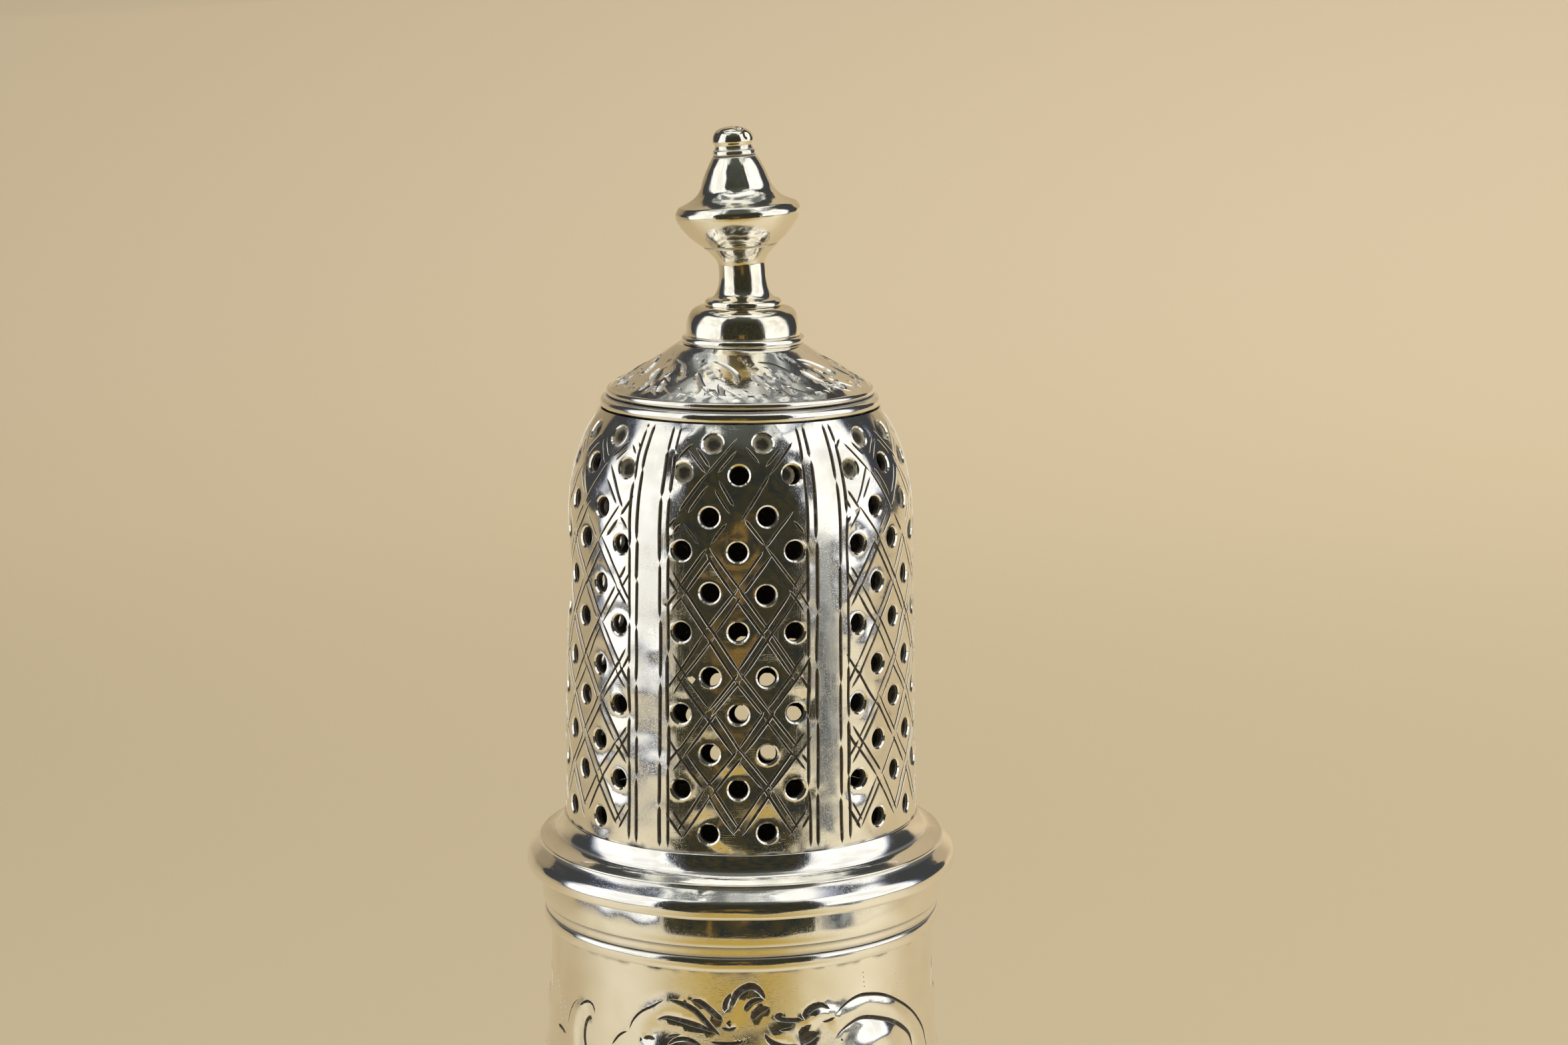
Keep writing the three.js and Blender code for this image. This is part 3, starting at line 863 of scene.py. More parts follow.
def dome_panel(sheet, rows, panel):
    """One sixth of the dome: outside, inside and the walls of its holes."""
    rng = np.random.default_rng(40 + panel)
    turn = panel * 2 * math.pi / PANELS
    holes = holes_of_panel(rows, rng)
    strokes = lattice_strokes(rows, rng) + border_strokes(sheet.length, rng)
    border = frame_points(PANEL_HALF, sheet.length, 28, 68)
    grid = grid_points(PANEL_HALF, sheet.length, 0.62, 0.4)
    flat, faces = pierced(sheet, border, grid, strokes, holes, (HOLE, RIM_CREST, RIM_FOOT))
    rim, dish = np.zeros(len(flat)), np.zeros(len(flat))
    for hole in holes:
        away = from_hole(sheet, flat, hole)
        deep = rng.uniform(0.05, 0.1)
        lean = (flat[:, 0] - hole[0]) * rng.normal(0, 0.03) + (flat[:, 1] - hole[1]) * rng.normal(0, 0.03)
        dish += (lean - deep) * np.exp(-(np.maximum(away - RIM_CREST, 0) ** 2) / 0.9)
        rim += np.where(away < RIM_CREST, (RIM_CREST - away) / (RIM_CREST - HOLE), 0) * -0.12
        rim += 0.022 * np.exp(-(((away - RIM_CREST) / 0.12) ** 2))
    cut = groove_depth(flat, strokes)
    level = sheet.place(flat, np.zeros(len(flat)), turn)
    edge = np.clip(np.minimum(flat[:, 1], sheet.length - flat[:, 1]) / 1.2, 0, 1)
    outside = sheet.place(flat, (dome_relief(level) + dish) * edge + rim - cut, turn)
    seam = np.exp(-(((outside[:, 2] - DOME_Z - 0.1) / 0.2) ** 2)) * (0.24 + 0.16 * waves(outside, 2.2, 4))
    grime_and_shade = np.maximum(np.clip(cut / 0.13, 0, 1), seam)

    grid = grid_points(PANEL_HALF, sheet.length, 1.3, 0.7)
    flat_inside, faces_inside = pierced(sheet, border, grid, [], holes, (HOLE,))
    inside = sheet.place(flat_inside, np.full(len(flat_inside), -DOME_WALL), turn)
    walls = hole_walls(sheet, holes, border, flat, flat_inside)
    faces = np.vstack([faces, faces_inside[:, ::-1] + len(flat), *walls])
    # The inside is marked 0.8: painted shade that darkens it, so that the holes look dark.
    return np.vstack([outside, inside]), faces, np.concatenate([grime_and_shade, np.full(len(inside), 0.8)])


def hole_plug(sheet, centre, turn, rng, low):
    """A rough lump of old polish that fills a hole up to `low` below its rim."""
    sides = 18
    angle = np.arange(sides) * 2 * math.pi / sides
    places, heights, marks = [(0.0, 0.0)], [low - 0.3], [1.0]
    rings = [np.zeros(sides, int)]
    for share in (0.35, 0.7, 1.0):
        rings.append(len(places) + np.arange(sides))
        places += [(share * math.sin(a), share * math.cos(a)) for a in angle]
        heights += list(low - 0.3 * (1 - share**2) + rng.normal(0, 0.035, sides))
        marks += [1 - share**2] * sides
    flat = np.array(places) * (HOLE + 0.02) * (DOME_SCALE / sheet.radius(centre[1]), 1) + centre
    points = [sheet.place(flat, np.array(heights), turn), sheet.place(flat, np.full(len(flat), -0.95), turn)]
    top = np.vstack([band(a, b) for a, b in zip(rings, rings[1:])])
    faces = [top, top[:, ::-1] + len(flat), band(rings[-1], rings[-1] + len(flat))]
    return np.vstack(points), np.vstack(faces), np.tile(marks, 2)


def hole_crusts(sheet, rows, panel):
    """The uppermost holes are choked, and some below them in part."""
    rng = np.random.default_rng(140 + panel)
    plugs = []
    for u, v, row, column in holes_of_panel(rows, np.random.default_rng(40 + panel)):
        top = ROW_COUNT - 1 - row
        low = rng.uniform(-0.34, -0.22)
        choked = top == 0 or (top == 1 and column) or (panel > 0 and top == 2 and rng.random() < 0.5)
        # One hole of the front panel is open on its right.
        if panel == 0 and top == 1 and column > 0:
            u, low = u - 0.75, low - 0.1
        if choked:
            plugs.append(hole_plug(sheet, (u, v), panel * 2 * math.pi / PANELS, rng, low))
    return plugs


def make_dome():
    sheet = dome_sheet()
    parts, crusts = [], []
    for panel in range(PANELS):
        rows = row_heights(sheet) - (BACK_LOWER if panel == BACK_PANEL else 0.0)
        parts.append(dome_panel(sheet, rows, panel))
        crusts += hole_crusts(sheet, rows, panel)
    sheet_piece("hole_crusts", "cover_dome", crusts, material=CRUST)
    sheet_piece("dome_pierced", "cover_dome", parts, sharp=26)


# Turned pieces


def make_foot():
    rim = Outline(22.1, 0).to(25, 0).to(25, 1.5).steep_then_flat(24.3, FOOT_Z).to(22.1, FOOT_Z)

    def rim_relief(p):
        """Waves that fade out towards the flat face that the caster stands on."""
        return wavy((0.02, 9, 11), (0.008, 3, 12))(p) * np.clip(p[:, 2] / 0.6, 0, 1)

    turned_piece("foot_wire", "foot_rim", rim, 224, rim_relief, soft=0.3)
    step = Outline(24.2, FOOT_Z).to(24.2, 3.4).to(23.3, 3.4).steep_then_flat(17.6, 8.6, steps=18)
    step.to(16.7, 8.6).to(16.7, 9.3).flat_then_steep(7.6, KNOP_Z, steps=24)
    step.to(6.6, KNOP_Z).steep_then_flat(15.7, 7.6, steps=16).to(16.6, 7.6).flat_then_steep(22.3, FOOT_Z)
    turned_piece("foot_raised", "foot", step, 224, wavy((0.03, 10, 13), (0.01, 4, 14)), soft=0.22)
    knop = Outline(0, KNOP_Z).to(8.1, KNOP_Z).to(8.1, 17.6).flat_then_steep(7.1, 18.5).bead(2.2, 2.3)
    knop.steep_then_flat(BODY_BASE, BODY_Z).to(0, BODY_Z)
    turned_piece("knop_cast", "stem_knop", knop, 128, wavy((0.02, 6, 15), (0.006, 2, 16)), soft=0.2)


def make_mouth():
    line = Outline(21.85, BAND_Z).to(22.2, BAND_Z).bead(0.4, 1.7).to(22.45, 91.7).to(22.45, 92.9)
    line.to(22.7, 92.9).bend((22.95, 93.5), (22.6, MOUTH_Z), steps=12).to(21.85, MOUTH_Z)
    relief = wavy((0.012, 10, 21), (0.006, 3.5, 22))
    turned_piece("mouth_wire", "mouth_band", line, 288, relief, soft=0.12, step=0.6)


# Chasing


def mark(width, *pixels, depth=0.16, tail=0.3, head=0.3):
    """A cut that the photograph shows: its width in mm, the pixels along it, its depth, and
    the shares of its length over which its ends run out."""
    return width, pixels, depth, tail, head


# How much wider a cut of the body is than the dark line that shows in it.
CUT_OVER_LINE = 1.25

LEFT_SCROLL = (
    mark(0.16, (869, 1498), (862, 1504), (857, 1514), (854, 1526), (852.5, 1542), depth=0.08),
    mark(0.3, (871, 1509), (876, 1504), (881, 1502), (887, 1505), (891, 1512), (892.5, 1521), tail=0.15),
    mark(0.45, (887, 1523), (881, 1530), (878, 1541), (877, 1555), (878.5, 1572), (882, 1590), tail=0.12),
    mark(0.36, (838, 1536), (844, 1542), (850, 1551), tail=0.2),
)
LEFT_LEAF = (
    mark(0.26, (945, 1545), (950, 1531), (959.5, 1520), (971, 1513), (979, 1510), (988, 1504.5), (998, 1500)),
    mark(0.26, (917, 1568), (928, 1554), (938, 1548), (943, 1547)),
    mark(
        0.62, (1003, 1499), (1019, 1504), (1033, 1510), (1045, 1518), (1058, 1532), (1070, 1544),
        (1082, 1555), head=0.35, depth=0.24,
    ),
    mark(
        0.66, (1036, 1500), (1049, 1503), (1057, 1508), (1066, 1515.5), (1076, 1525), (1086, 1532),
        tail=0.25, head=0.12, depth=0.2,
    ),
    mark(
        0.62, (984, 1531), (998, 1526), (1012, 1528.5), (1028, 1533), (1047, 1539), (1060, 1544),
        (1074, 1549.5), tail=0.5, depth=0.18,
    ),
    mark(0.3, (998, 1557), (1007, 1554), (1024, 1552.5), depth=0.1),
    mark(0.5, (1001, 1569), (1012, 1561), (1029, 1559), (1046, 1566), (1056, 1576), depth=0.22),
    mark(0.45, (965, 1558), (975, 1556), (985, 1560), tail=0.1),
)
MIDDLE_LEAF = (
    mark(0.6, (1087, 1520), (1089, 1504), (1098, 1489), tail=0.2, head=0.45, depth=0.22),
    mark(
        0.8, (1101, 1511), (1102, 1497), (1111, 1486), (1126, 1479), (1137, 1483), (1144, 1491), (1149, 1501),
        tail=0.25, head=0.4, depth=0.26,
    ),
    mark(0.6, (1115, 1517), (1122, 1508), (1130, 1501), (1140, 1499), (1148, 1501), head=0.4, depth=0.2),
    mark(0.95, (1128, 1533), (1132, 1522), (1141, 1515), (1156, 1511), tail=0.35, head=0.5, depth=0.24),
    mark(0.36, (1081, 1541), (1094, 1545.5), (1108, 1541), tail=0.2, head=0.2),
    mark(0.42, (1065, 1563), (1080, 1566), (1100, 1566), (1118, 1563), depth=0.2),
)
RIGHT_LEAVES = (
    mark(0.5, (1160, 1527), (1168, 1523), (1178, 1522), tail=0.2, head=0.2),
    mark(0.55, (1161, 1527), (1174, 1530), (1188, 1531), (1205, 1530), tail=0.25, head=0.1, depth=0.2),
    mark(0.32, (1169, 1546), (1179, 1545.5), (1192, 1542)),
    mark(0.12, (1150, 1535), (1156, 1549), (1164, 1557), depth=0.06),
    mark(0.75, (1147, 1549), (1152, 1559), (1163, 1567), (1180, 1572), (1200, 1568), tail=0.4, depth=0.26),
    mark(0.95, (1199, 1558), (1208, 1545), (1218, 1536), tail=0.2, head=0.5, depth=0.26),
    mark(1.1, (1203, 1566), (1215, 1556), (1228, 1550), depth=0.28),
    mark(
        0.75, (1207, 1531), (1210, 1519), (1220, 1511), (1233, 1507.5), (1245, 1514),
        tail=0.12, head=0.5, depth=0.26,
    ),
    mark(0.4, (1232, 1533), (1241, 1532), (1252, 1525), tail=0.5, head=0.2, depth=0.12),
)
RIGHT_SCROLL = (
    mark(
        0.34, (1252, 1524), (1263, 1511), (1277, 1500), (1293, 1492.5), (1312, 1491), (1328, 1493),
        (1344, 1499.5), (1360, 1509), (1375, 1524), (1386, 1545), (1392, 1575), tail=0.2, head=0.1, depth=0.2,
    ),
    mark(
        0.5, (1253, 1558), (1263, 1546), (1276, 1535), (1290, 1527), (1309, 1526), (1333, 1530), (1349, 1538),
        (1362, 1550), (1370, 1572),
    ),
    mark(0.22, (1262, 1557), (1265, 1563), depth=0.1),
)

# Ring punches by pixel and size, rows of dots by x, first y, last y and distance, and the
# middle and spread of a patch of dots.
FRONT_RINGS = (
    (982, 1510, 0.22), (1029, 1503, 0.26), (1095, 1536, 0.4),
    (963, 1559, 0.3), (1143.5, 1508.5, 0.3), (887, 1529, 0.25),
)
FRONT_DOTS = (
    (838, 1463, 1535, 8), (847, 1486, 1532, 8),
    (1295, 1459, 1482, 7), (1344, 1461, 1490, 7), (1355, 1470, 1490, 6),
)
DOT_PATCH = ((1118, 9), (1562, 5))

# Ribs by half width, height and the pixels along them, and the middles of raised lumps.
FRONT_RIBS = (
    (1.0, 0.3, (862, 1590), (862, 1540), (868, 1515), (880, 1507)),
    (1.6, 0.14, (925, 1575), (952, 1545), (975, 1520), (1005, 1508), (1040, 1518)),
    (1.0, 0.2, (1095, 1535), (1108, 1505), (1128, 1492), (1142, 1500)),
    (1.1, 0.4, (1205, 1538), (1222, 1524), (1240, 1519), (1255, 1524)),
    (
        1.5, 0.34, (1246, 1540), (1270, 1520), (1300, 1507), (1335, 1512), (1362, 1532), (1378, 1560),
        (1380, 1590),
    ),
)
RIGHT_LUMP = (1316, 1568)
MIDDLE_LUMP = (1175, 1553)
LEFT_LUMP = (980, 1575)


def front_chasing(sheet):
    """The scrolls and leaves that show below the mouth, with those that the picture's edge cuts off."""
    marks = LEFT_SCROLL + LEFT_LEAF + MIDDLE_LEAF + RIGHT_LEAVES + RIGHT_SCROLL
    strokes = []
    for width, pixels, *rest in marks:
        strokes.append(Stroke(through(*seen(sheet, *pixels)), width * CUT_OVER_LINE, *rest))
    for x, y, size in FRONT_RINGS:
        strokes.append(ring_punch(*seen(sheet, (x, y))[0], size * 0.7, size * 0.9, 0.14))
    rng = np.random.default_rng(7)
    for x, first, last, step in FRONT_DOTS:
        for y in np.arange(first, last, step):
            strokes.append(dot_punch(*seen(sheet, (x + (y - first) * 0.1, y))[0], 0.2, 0.06))
    for _ in range(16):
        place = seen(sheet, [rng.normal(middle, spread) for middle, spread in DOT_PATCH])[0]
        strokes.append(dot_punch(*place, rng.uniform(0.2, 0.34), 0.1))
    bosses = Bosses()
    for half, height, *pixels in FRONT_RIBS:
        bosses.rib(seen(sheet, *pixels), half, height)
    bosses.add(seen(sheet, RIGHT_LUMP)[0], 3.6, 2.8, 0.8, flat=3.0)
    bosses.add(seen(sheet, MIDDLE_LUMP)[0], 1.6, 1.0, 0.16)
    bosses.add(seen(sheet, LEFT_LUMP)[0], 3.0, 1.6, 0.3)
    return strokes, bosses


def scroll(bosses, centre, size, turn=0.0, flip=1):
    """A C-scroll: an open curve with a curl at both ends, a second line inside it, punched
    beads between the two, and raised ribs under the curve and its upper curl."""
    angle = math.radians(turn)

    def place(points):
        points = np.array(points, float) * size
        points[:, 0] *= flip
        x = points[:, 0] * math.cos(angle) - points[:, 1] * math.sin(angle)
        y = points[:, 0] * math.sin(angle) + points[:, 1] * math.cos(angle)
        return np.stack([x + centre[0], y + centre[1]], axis=1)

    def spiral(radius, start, sweep, x=0.0, y=0.0, shrink=0.0):
        t = np.linspace(0, 1, 22)
        a = math.radians(start) + math.radians(sweep) * t
        r = radius * (1 - shrink * t)
        return np.stack([x + r * np.cos(a), y + r * np.sin(a)], axis=1)

    curls = spiral(0.42, 90, -330, y=0.58, shrink=0.75)[::-1], spiral(0.3, 270, 330, y=-0.7, shrink=0.75)
    strokes = [
        Stroke(place(np.vstack([curls[0], spiral(1.0, 90, 180), curls[1]])), 0.66, 0.24, 0.06, 0.06),
        Stroke(place(spiral(0.76, 100, 160, x=0.02)), 0.45, 0.16, 0.2, 0.2),
    ]
    bosses.rib(place(spiral(0.88, 80, 200, x=0.01)), 0.14 * size, 0.34)
    bosses.rib(place(spiral(0.24, 60, 300, y=0.58, shrink=0.3)), 0.1 * size, 0.2)
    for a in np.linspace(112, 248, max(4, int(size * 1.6))):
        p = place([(0.89 * math.cos(math.radians(a)), 0.89 * math.sin(math.radians(a)))])[0]
        strokes.append(ring_punch(*p, 0.2, 0.16, 0.07))
    return strokes


def leaf(bosses, start, bend, end, width, veins=5):
    """A pointed leaf: two lobed edges, a vein, short side veins, and a rib raised under it."""
    middle = curve(start, bend, end, steps=18)
    side = -outline_normals(middle, closed=False)
    t = np.linspace(0, 1, len(middle))
    swell = (np.sin(t**0.8 * math.pi) * width / 2)[:, None]
    lobes = 1 + 0.16 * np.sin(t * math.pi * 7)[:, None]
    strokes = [Stroke(middle + k * side * swell * lobes, 0.5, 0.2, 0.15, 0.2) for k in (1, -1)]
    strokes.append(Stroke(middle[1:-2], 0.42, 0.16, 0.1, 0.6))
    bosses.rib(middle, 0.62 * width, 0.34)
    for i in np.linspace(3, len(middle) - 5, veins).astype(int):
        for k in (-1, 1):
            tip = middle[min(i + 2, len(middle) - 1)] + side[i] * swell[i] * 0.75 * k
            strokes.append(Stroke([middle[i], tip], 0.28, 0.1, 0.2, 0.5))
    return strokes


def flower(centre, radius, petals, seed):
    """An open flower: a punched heart and a ring of notched petals."""
    rng = np.random.default_rng(seed)
    strokes = [ring_punch(centre[0], centre[1], radius * 0.26, 0.3, 0.14)]
    for i in range(petals):
        a = 2 * math.pi * i / petals + rng.normal(0, 0.06)
        half = math.pi / petals
        tip = radius * rng.uniform(0.93, 1.05)

        def at(angle, r):
            return (centre[0] + r * math.sin(angle), centre[1] + r * math.cos(angle))

        edge = [at(a - half * 0.75, radius * 0.4), at(a - half * 0.95, tip * 0.8), at(a - half * 0.45, tip)]
        edge += [at(a, tip * 0.92), at(a + half * 0.45, tip), at(a + half * 0.95, tip * 0.8)]
        edge.append(at(a + half * 0.75, radius * 0.4))
        strokes.append(Stroke(through(*edge), 0.5, 0.2, 0.1, 0.1))
        for k in (-0.35, 0, 0.35):
            ends = [at(a + half * k * 0.7, radius * 0.42), at(a + half * k, radius * rng.uniform(0.6, 0.75))]
            strokes.append(Stroke(ends, 0.28, 0.11, 0.2, 0.6))
        strokes.append(dot_punch(*at(a, radius * 0.13), 0.24, 0.07))
    return strokes


def shield(strokes, bosses, across):
    """An empty shield between scrolls, on leaves. across(k, x) is the place x mm to one side
    of its middle, and k is 1 or -1 for the side."""
    for k in (-1, 1):
        way = np.sign(across(k, 1) - across(k, 0))
        strokes += scroll(bosses, (across(k, 11.5), 68), 8.5, -12 * way, -way)
        strokes += scroll(bosses, (across(k, 9.5), 51), 7.5, 14 * way, -way)
        strokes += leaf(bosses, (across(k, 1.2), 44), (across(k, 5), 42), (across(k, 7.6), 38), 3.2)
        bosses.add((across(k, 11.5), 68), 5.5, 7, 0.4)


def side_flowers(strokes, bosses, side, u):
    """Two flowers above one another, with leaves round them."""
    strokes += flower((u, 58.5), 6.2, 6, 60 + side) + flower((u + side * 1.5, 73), 4.0, 5, 70 + side)
    bosses.add((u, 58.5), 5.6, 5.6, 0.75)
    bosses.add((u + side * 1.5, 73), 3.6, 3.6, 0.5)
    for k in (-1, 1):
        strokes += leaf(bosses, (u + k * 5.2, 62.5), (u + k * 9.5, 68), (u + k * 8.2, 76), 4.6)
        strokes += leaf(bosses, (u + k * 5.4, 54), (u + k * 10.5, 50), (u + k * 9.5, 42), 4.8)
        strokes += leaf(bosses, (u + k * 2.4, 51.5), (u + k * 4.6, 46), (u + k * 3.2, 39), 3.6, 4)


def back_leaves(strokes, bosses, half):
    """Leaves above the shield at the back, on both sides of the seam."""
    for k in (-1, 1):
        start, bend, end = (k * (half - 1.2), 75), (k * (half - 4.4), 80), (k * (half - 2.2), 86.5)
        strokes += leaf(bosses, start, bend, end, 3.2, 4)


# From here to the right, in flat mm, the front's border is repeated on both sides.
REPEAT_FROM = -13.5


def repeated(strokes, bosses, sign, shift):
    """The middle and the right scroll of the front's upper border once more, mirrored where
    sign is -1."""
    twins, raised = [], Bosses()
    for s in strokes:
        if s.line[:, 0].min() > REPEAT_FROM:
            twins.append(copy.copy(s))
            twins[-1].line = s.line * (sign, 1) + (shift, 0)
    for c, *rest in bosses.places:
        if c[0] > REPEAT_FROM:
            raised.places.append(((sign * c[0] + shift, c[1]), *rest))
    for line, *rest in bosses.ribs:
        if line[:, 0].min() > REPEAT_FROM:
            raised.ribs.append((line * (sign, 1) + (shift, 0), *rest))
    return twins, raised


def low_leaves(strokes, bosses, scale):
    """A ring of upright leaves over the knop."""
    count = 16
    wide = math.pi * scale / count
    for k in range(count):
        u = -math.pi * scale + (2 * k + 1) * wide
        for side in (-1, 1):
            tip = (u, 15.5 if k % 2 else 13)
            edge = curve((u + side * wide * 0.9, 1.0), (u + side * wide * 0.95, 9), tip)
            strokes.append(Stroke(edge, 0.5, 0.16, 0.05, 0.3))
        strokes.append(Stroke(curve((u, 2), (u, 7), (u, 11.5)), 0.45, 0.1, 0.1, 0.7))
        bosses.add((u, 8), wide * 0.6, 6, 0.28)


def body_chasing(sheet):
    """Traditional scrolls, flowers and leaves round the body. Only the top of the front is in
    the photograph, so the rest is a guess in the same manner."""
    strokes, bosses = [], Bosses()
    quarter = math.pi * sheet.scale / 2
    shield(strokes, bosses, lambda k, x: k * x)
    strokes += leaf(bosses, (0, 44), (0.6, 40), (0, 36), 4.2)
    bosses.add((0, 60), 7.5, 12.5, -0.18, flat=6.0)
    shield(strokes, bosses, lambda k, x: k * (2 * quarter - x))
    side_flowers(strokes, bosses, 1, quarter + 2.5)
    side_flowers(strokes, bosses, -1, -quarter - 2.5)
    back_leaves(strokes, bosses, 2 * quarter)
    for s in strokes:
        s.line[:, 1] = sheet.v_of_height(s.line[:, 1])
    bosses.follow(sheet)
    low_leaves(strokes, bosses, sheet.scale)
    front, raised = front_chasing(sheet)
    strokes += front
    bosses.join(raised)
    for k in (1, -1):
        twins, more = repeated(front, raised, k, k * (quarter + 9))
        strokes += twins
        bosses.join(more)
    return strokes, bosses


def make_body():
    line = Outline(BODY_BASE, BODY_Z).flat_then_steep(BELLY, 40, steps=40)
    line.bend((BELLY, 55), (NECK, 62), (NECK, BAND_Z), steps=90).to(NECK, MOUTH_Z)
    sheet = Sheet(spaced(line.points, 0.8, closed=False), 22.0)
    strokes, bosses = body_chasing(sheet)
    relief = wavy((0.03, 13, 23), (0.01, 4.5, 24))
    finer, bare = sheet.v_of_height(78.0), sheet.v_of_height(BAND_Z - 0.2)
    points, faces, grime_and_shade = chased_sheet(
        sheet, strokes, bosses, relief, BODY_SIDES, 100, lambda v: 0.55 if finer < v < bare else 0.8, edge=3.0
    )
    under_bead = np.exp(-(((points[:, 2] - BAND_Z + 0.1) / 0.3) ** 2))
    grime_and_shade = np.maximum(grime_and_shade, under_bead * (0.26 + 0.16 * waves(points, 2.6, 25)))
    inner = Outline(NECK, MOUTH_Z).to(BORE, MOUTH_Z).to(BORE, 84.5)
    inner.bend((BORE, 62), (27.05, 55), (27.05, 40), steps=24)
    inner.steep_then_flat(BODY_BASE, 23.7, steps=14).to(0.02, 23.7)
    under = Outline(0.02, BODY_Z).to(BODY_BASE, BODY_Z)
    strips = [turned_strip(side.points, BODY_SIDES) for side in (inner, under)]
    sheet_piece("body_raised", "body_shell", [(points, faces, grime_and_shade), *strips], sharp=26)


def make_flange():
    sleeve = Outline(20.15, 86).to(20.5, 86).to(20.75, 86.25).to(20.75, 100.5).to(20.15, 100.5)
    turned_piece("sleeve_satin", "cover_sleeve", sleeve, 192, wavy((0.01, 8, 31)), soft=0.1)
    flange = Outline(20.8, MOUTH_Z).to(24.15, MOUTH_Z).to(24.45, 96.7).to(24.45, 97.3)
    flange.bend((24.45, 98.05), (24.0, 98.5)).to(23.0, 99.5).to(23.0, 99.9).to(22.6, 99.9)
    flange.bend((21.2, 100.1), (20.95, 100.6)).bend((20.45, 101.2), (20.2, DOME_Z))
    flange.to(19.0, DOME_Z).to(19.0, 100.5).to(20.8, 100.5)

    def relief(p):
        return wavy((0.014, 11, 32), (0.008, 4, 33))(p) - dents(p, FLANGE_PIT)

    turned_piece("flange_wire", "cover_flange", flange, 320, relief, soft=0.16, step=0.6)


def make_top():
    """The wires at the seams of dome, cap and boss, and the boss. The cap is made apart."""
    ring = Outline(13.3, RING_Z).to(15.1, RING_Z).bead(0.6, 1.2).to(CAP_EDGE, 150.3).bead(0.4, 0.8)
    relief = wavy((0.014, 8, 41), (0.007, 3, 42))
    turned_piece("cap_ring_wire", "cap_ring", ring.to(13.3, CAP_Z), 256, relief, soft=0.08, step=0.6)
    wire = Outline(5.2, BOSS_RING_Z).to(6.5, BOSS_RING_Z).bead(0.4, 0.9).to(5.2, BOSS_Z)
    relief = wavy((0.012, 5, 45))
    turned_piece("boss_ring_wire", "boss_ring", wire, 128, relief, soft=0.08, step=0.5, right=OFF_AXIS)
    bell = Outline(0, BOSS_RING_Z).to(5.15, BOSS_RING_Z).to(5.15, BOSS_Z).to(6.4, BOSS_Z).to(6.4, 157.1)
    bell.steep_then_flat(FINIAL_SEAT, FINIAL_Z, steps=16).to(0, FINIAL_Z)
    relief = wavy((0.02, 5, 46), (0.006, 2, 47))
    turned_piece("boss_cast", "finial_boss", bell, 128, relief, soft=0.16, step=0.5, right=OFF_AXIS)


# The cap

CAP_SCALE = 11.2
CAP_MOTIFS = 11

# One repeat of the wreath on the cap, with the end of its comma, where a drop hangs.
CAP_DROP = (1106, 571)
CAP_MARKS = (
    mark(
        0.95, (1069, 541.5), (1083, 545.5), (1095, 552), (1104, 561), CAP_DROP,
        depth=0.32, tail=0.85, head=0.08,
    ),
    mark(0.95, (1126, 558), (1133, 566), (1144, 573), (1155, 576), depth=0.26, head=0.5),
    mark(0.75, (1168.5, 571), (1178, 578), (1185, 585), (1192, 586.5), depth=0.24),
    mark(0.34, (1157, 556), (1163, 560), (1167, 567), depth=0.12),
    mark(0.3, (1143, 548), (1152, 551), (1159, 556), depth=0.1, tail=0.5),
    mark(0.5, (1072, 566), (1083, 567), (1092, 573), depth=0.14),
    mark(0.55, (1049, 570), (1052, 580), (1046, 589), depth=0.18),
    mark(0.34, (1058, 575), (1064, 582), (1072, 588), (1081, 592), depth=0.14, tail=0.2),
    mark(0.34, (1085, 577), (1092, 581), (1104, 587), (1114, 592), depth=0.14, head=0.2),
    mark(0.34, (1122, 593), (1125, 588.5), (1131, 588.5), (1136, 593), depth=0.14, tail=0.2, head=0.2),
    mark(0.3, (1113, 581), (1119, 583), (1124, 586), depth=0.1),
    mark(0.4, (1140, 586), (1144, 587), (1149, 591), depth=0.14),
    mark(0.36, (1161, 589), (1163.5, 581), (1171, 581.5), (1178, 587), (1187, 590), (1195, 591), tail=0.15),
)
CAP_DOTS = ((1113, 536.5), (1120, 539), (1127, 545.5), (1134, 552), (1144, 558), (1151.5, 563), (1157, 567.5))


def cap_motif(sheet):
    """The marks of the wreath as (line, width, depth, tail, head), its dots and its drop."""

    def lower(*points):
        return [(u, v - 0.75 * (1 - v / sheet.length)) for u, v in seen(sheet, *points)]

    marks = [(through(*lower(*pixels)), width, *rest) for width, pixels, *rest in CAP_MARKS]
    return marks, lower(*CAP_DOTS), lower(CAP_DROP)[0]


def cap_chasing(sheet):
    """A wreath of comma-shaped gouges with drops at their ends, rows of dots, and feathers
    over a ragged border."""
    rng = np.random.default_rng(9)
    strokes, bosses = [], Bosses()
    around = 2 * math.pi * sheet.scale
    pitch = around / CAP_MOTIFS
    marks, dots, drop = cap_motif(sheet)
    for k in range(CAP_MOTIFS):

        def moved(u):
            return (u + (k - CAP_MOTIFS // 2) * pitch + around / 2) % around - around / 2

        for points, width, depth, tail, head in marks:
            jitter = rng.normal(0, 0.06, 2)
            centre = points[:, 0].mean()
            u = points[:, 0] - centre + moved(centre) + jitter[0]
            line = np.stack([u, points[:, 1] + jitter[1]], axis=1)
            strokes.append(Stroke(line, width * rng.uniform(0.9, 1.1), depth, tail, head))
        for u, v in dots:
            place = moved(u) + rng.normal(0, 0.05), v + rng.normal(0, 0.05)
            strokes.append(ring_punch(*place, 0.13, 0.15, 0.08))
        strokes.append(ring_punch(moved(drop[0]), drop[1], 0.32, 0.2, 0.1))
        bosses.add((moved(drop[0] - 1.6), drop[1] + 0.9), 1.2, 1.3, 0.07, turn=30)
        bosses.add((moved(drop[0] + 2.0), drop[1] + 0.6), 1.4, 1.1, 0.07, turn=-20)
        for i in range(3):
            bosses.add((moved(drop[0] + (i - 1) * pitch / 3), 0.75), 0.6, 0.45, 0.1, flat=3.0)
    return strokes, bosses


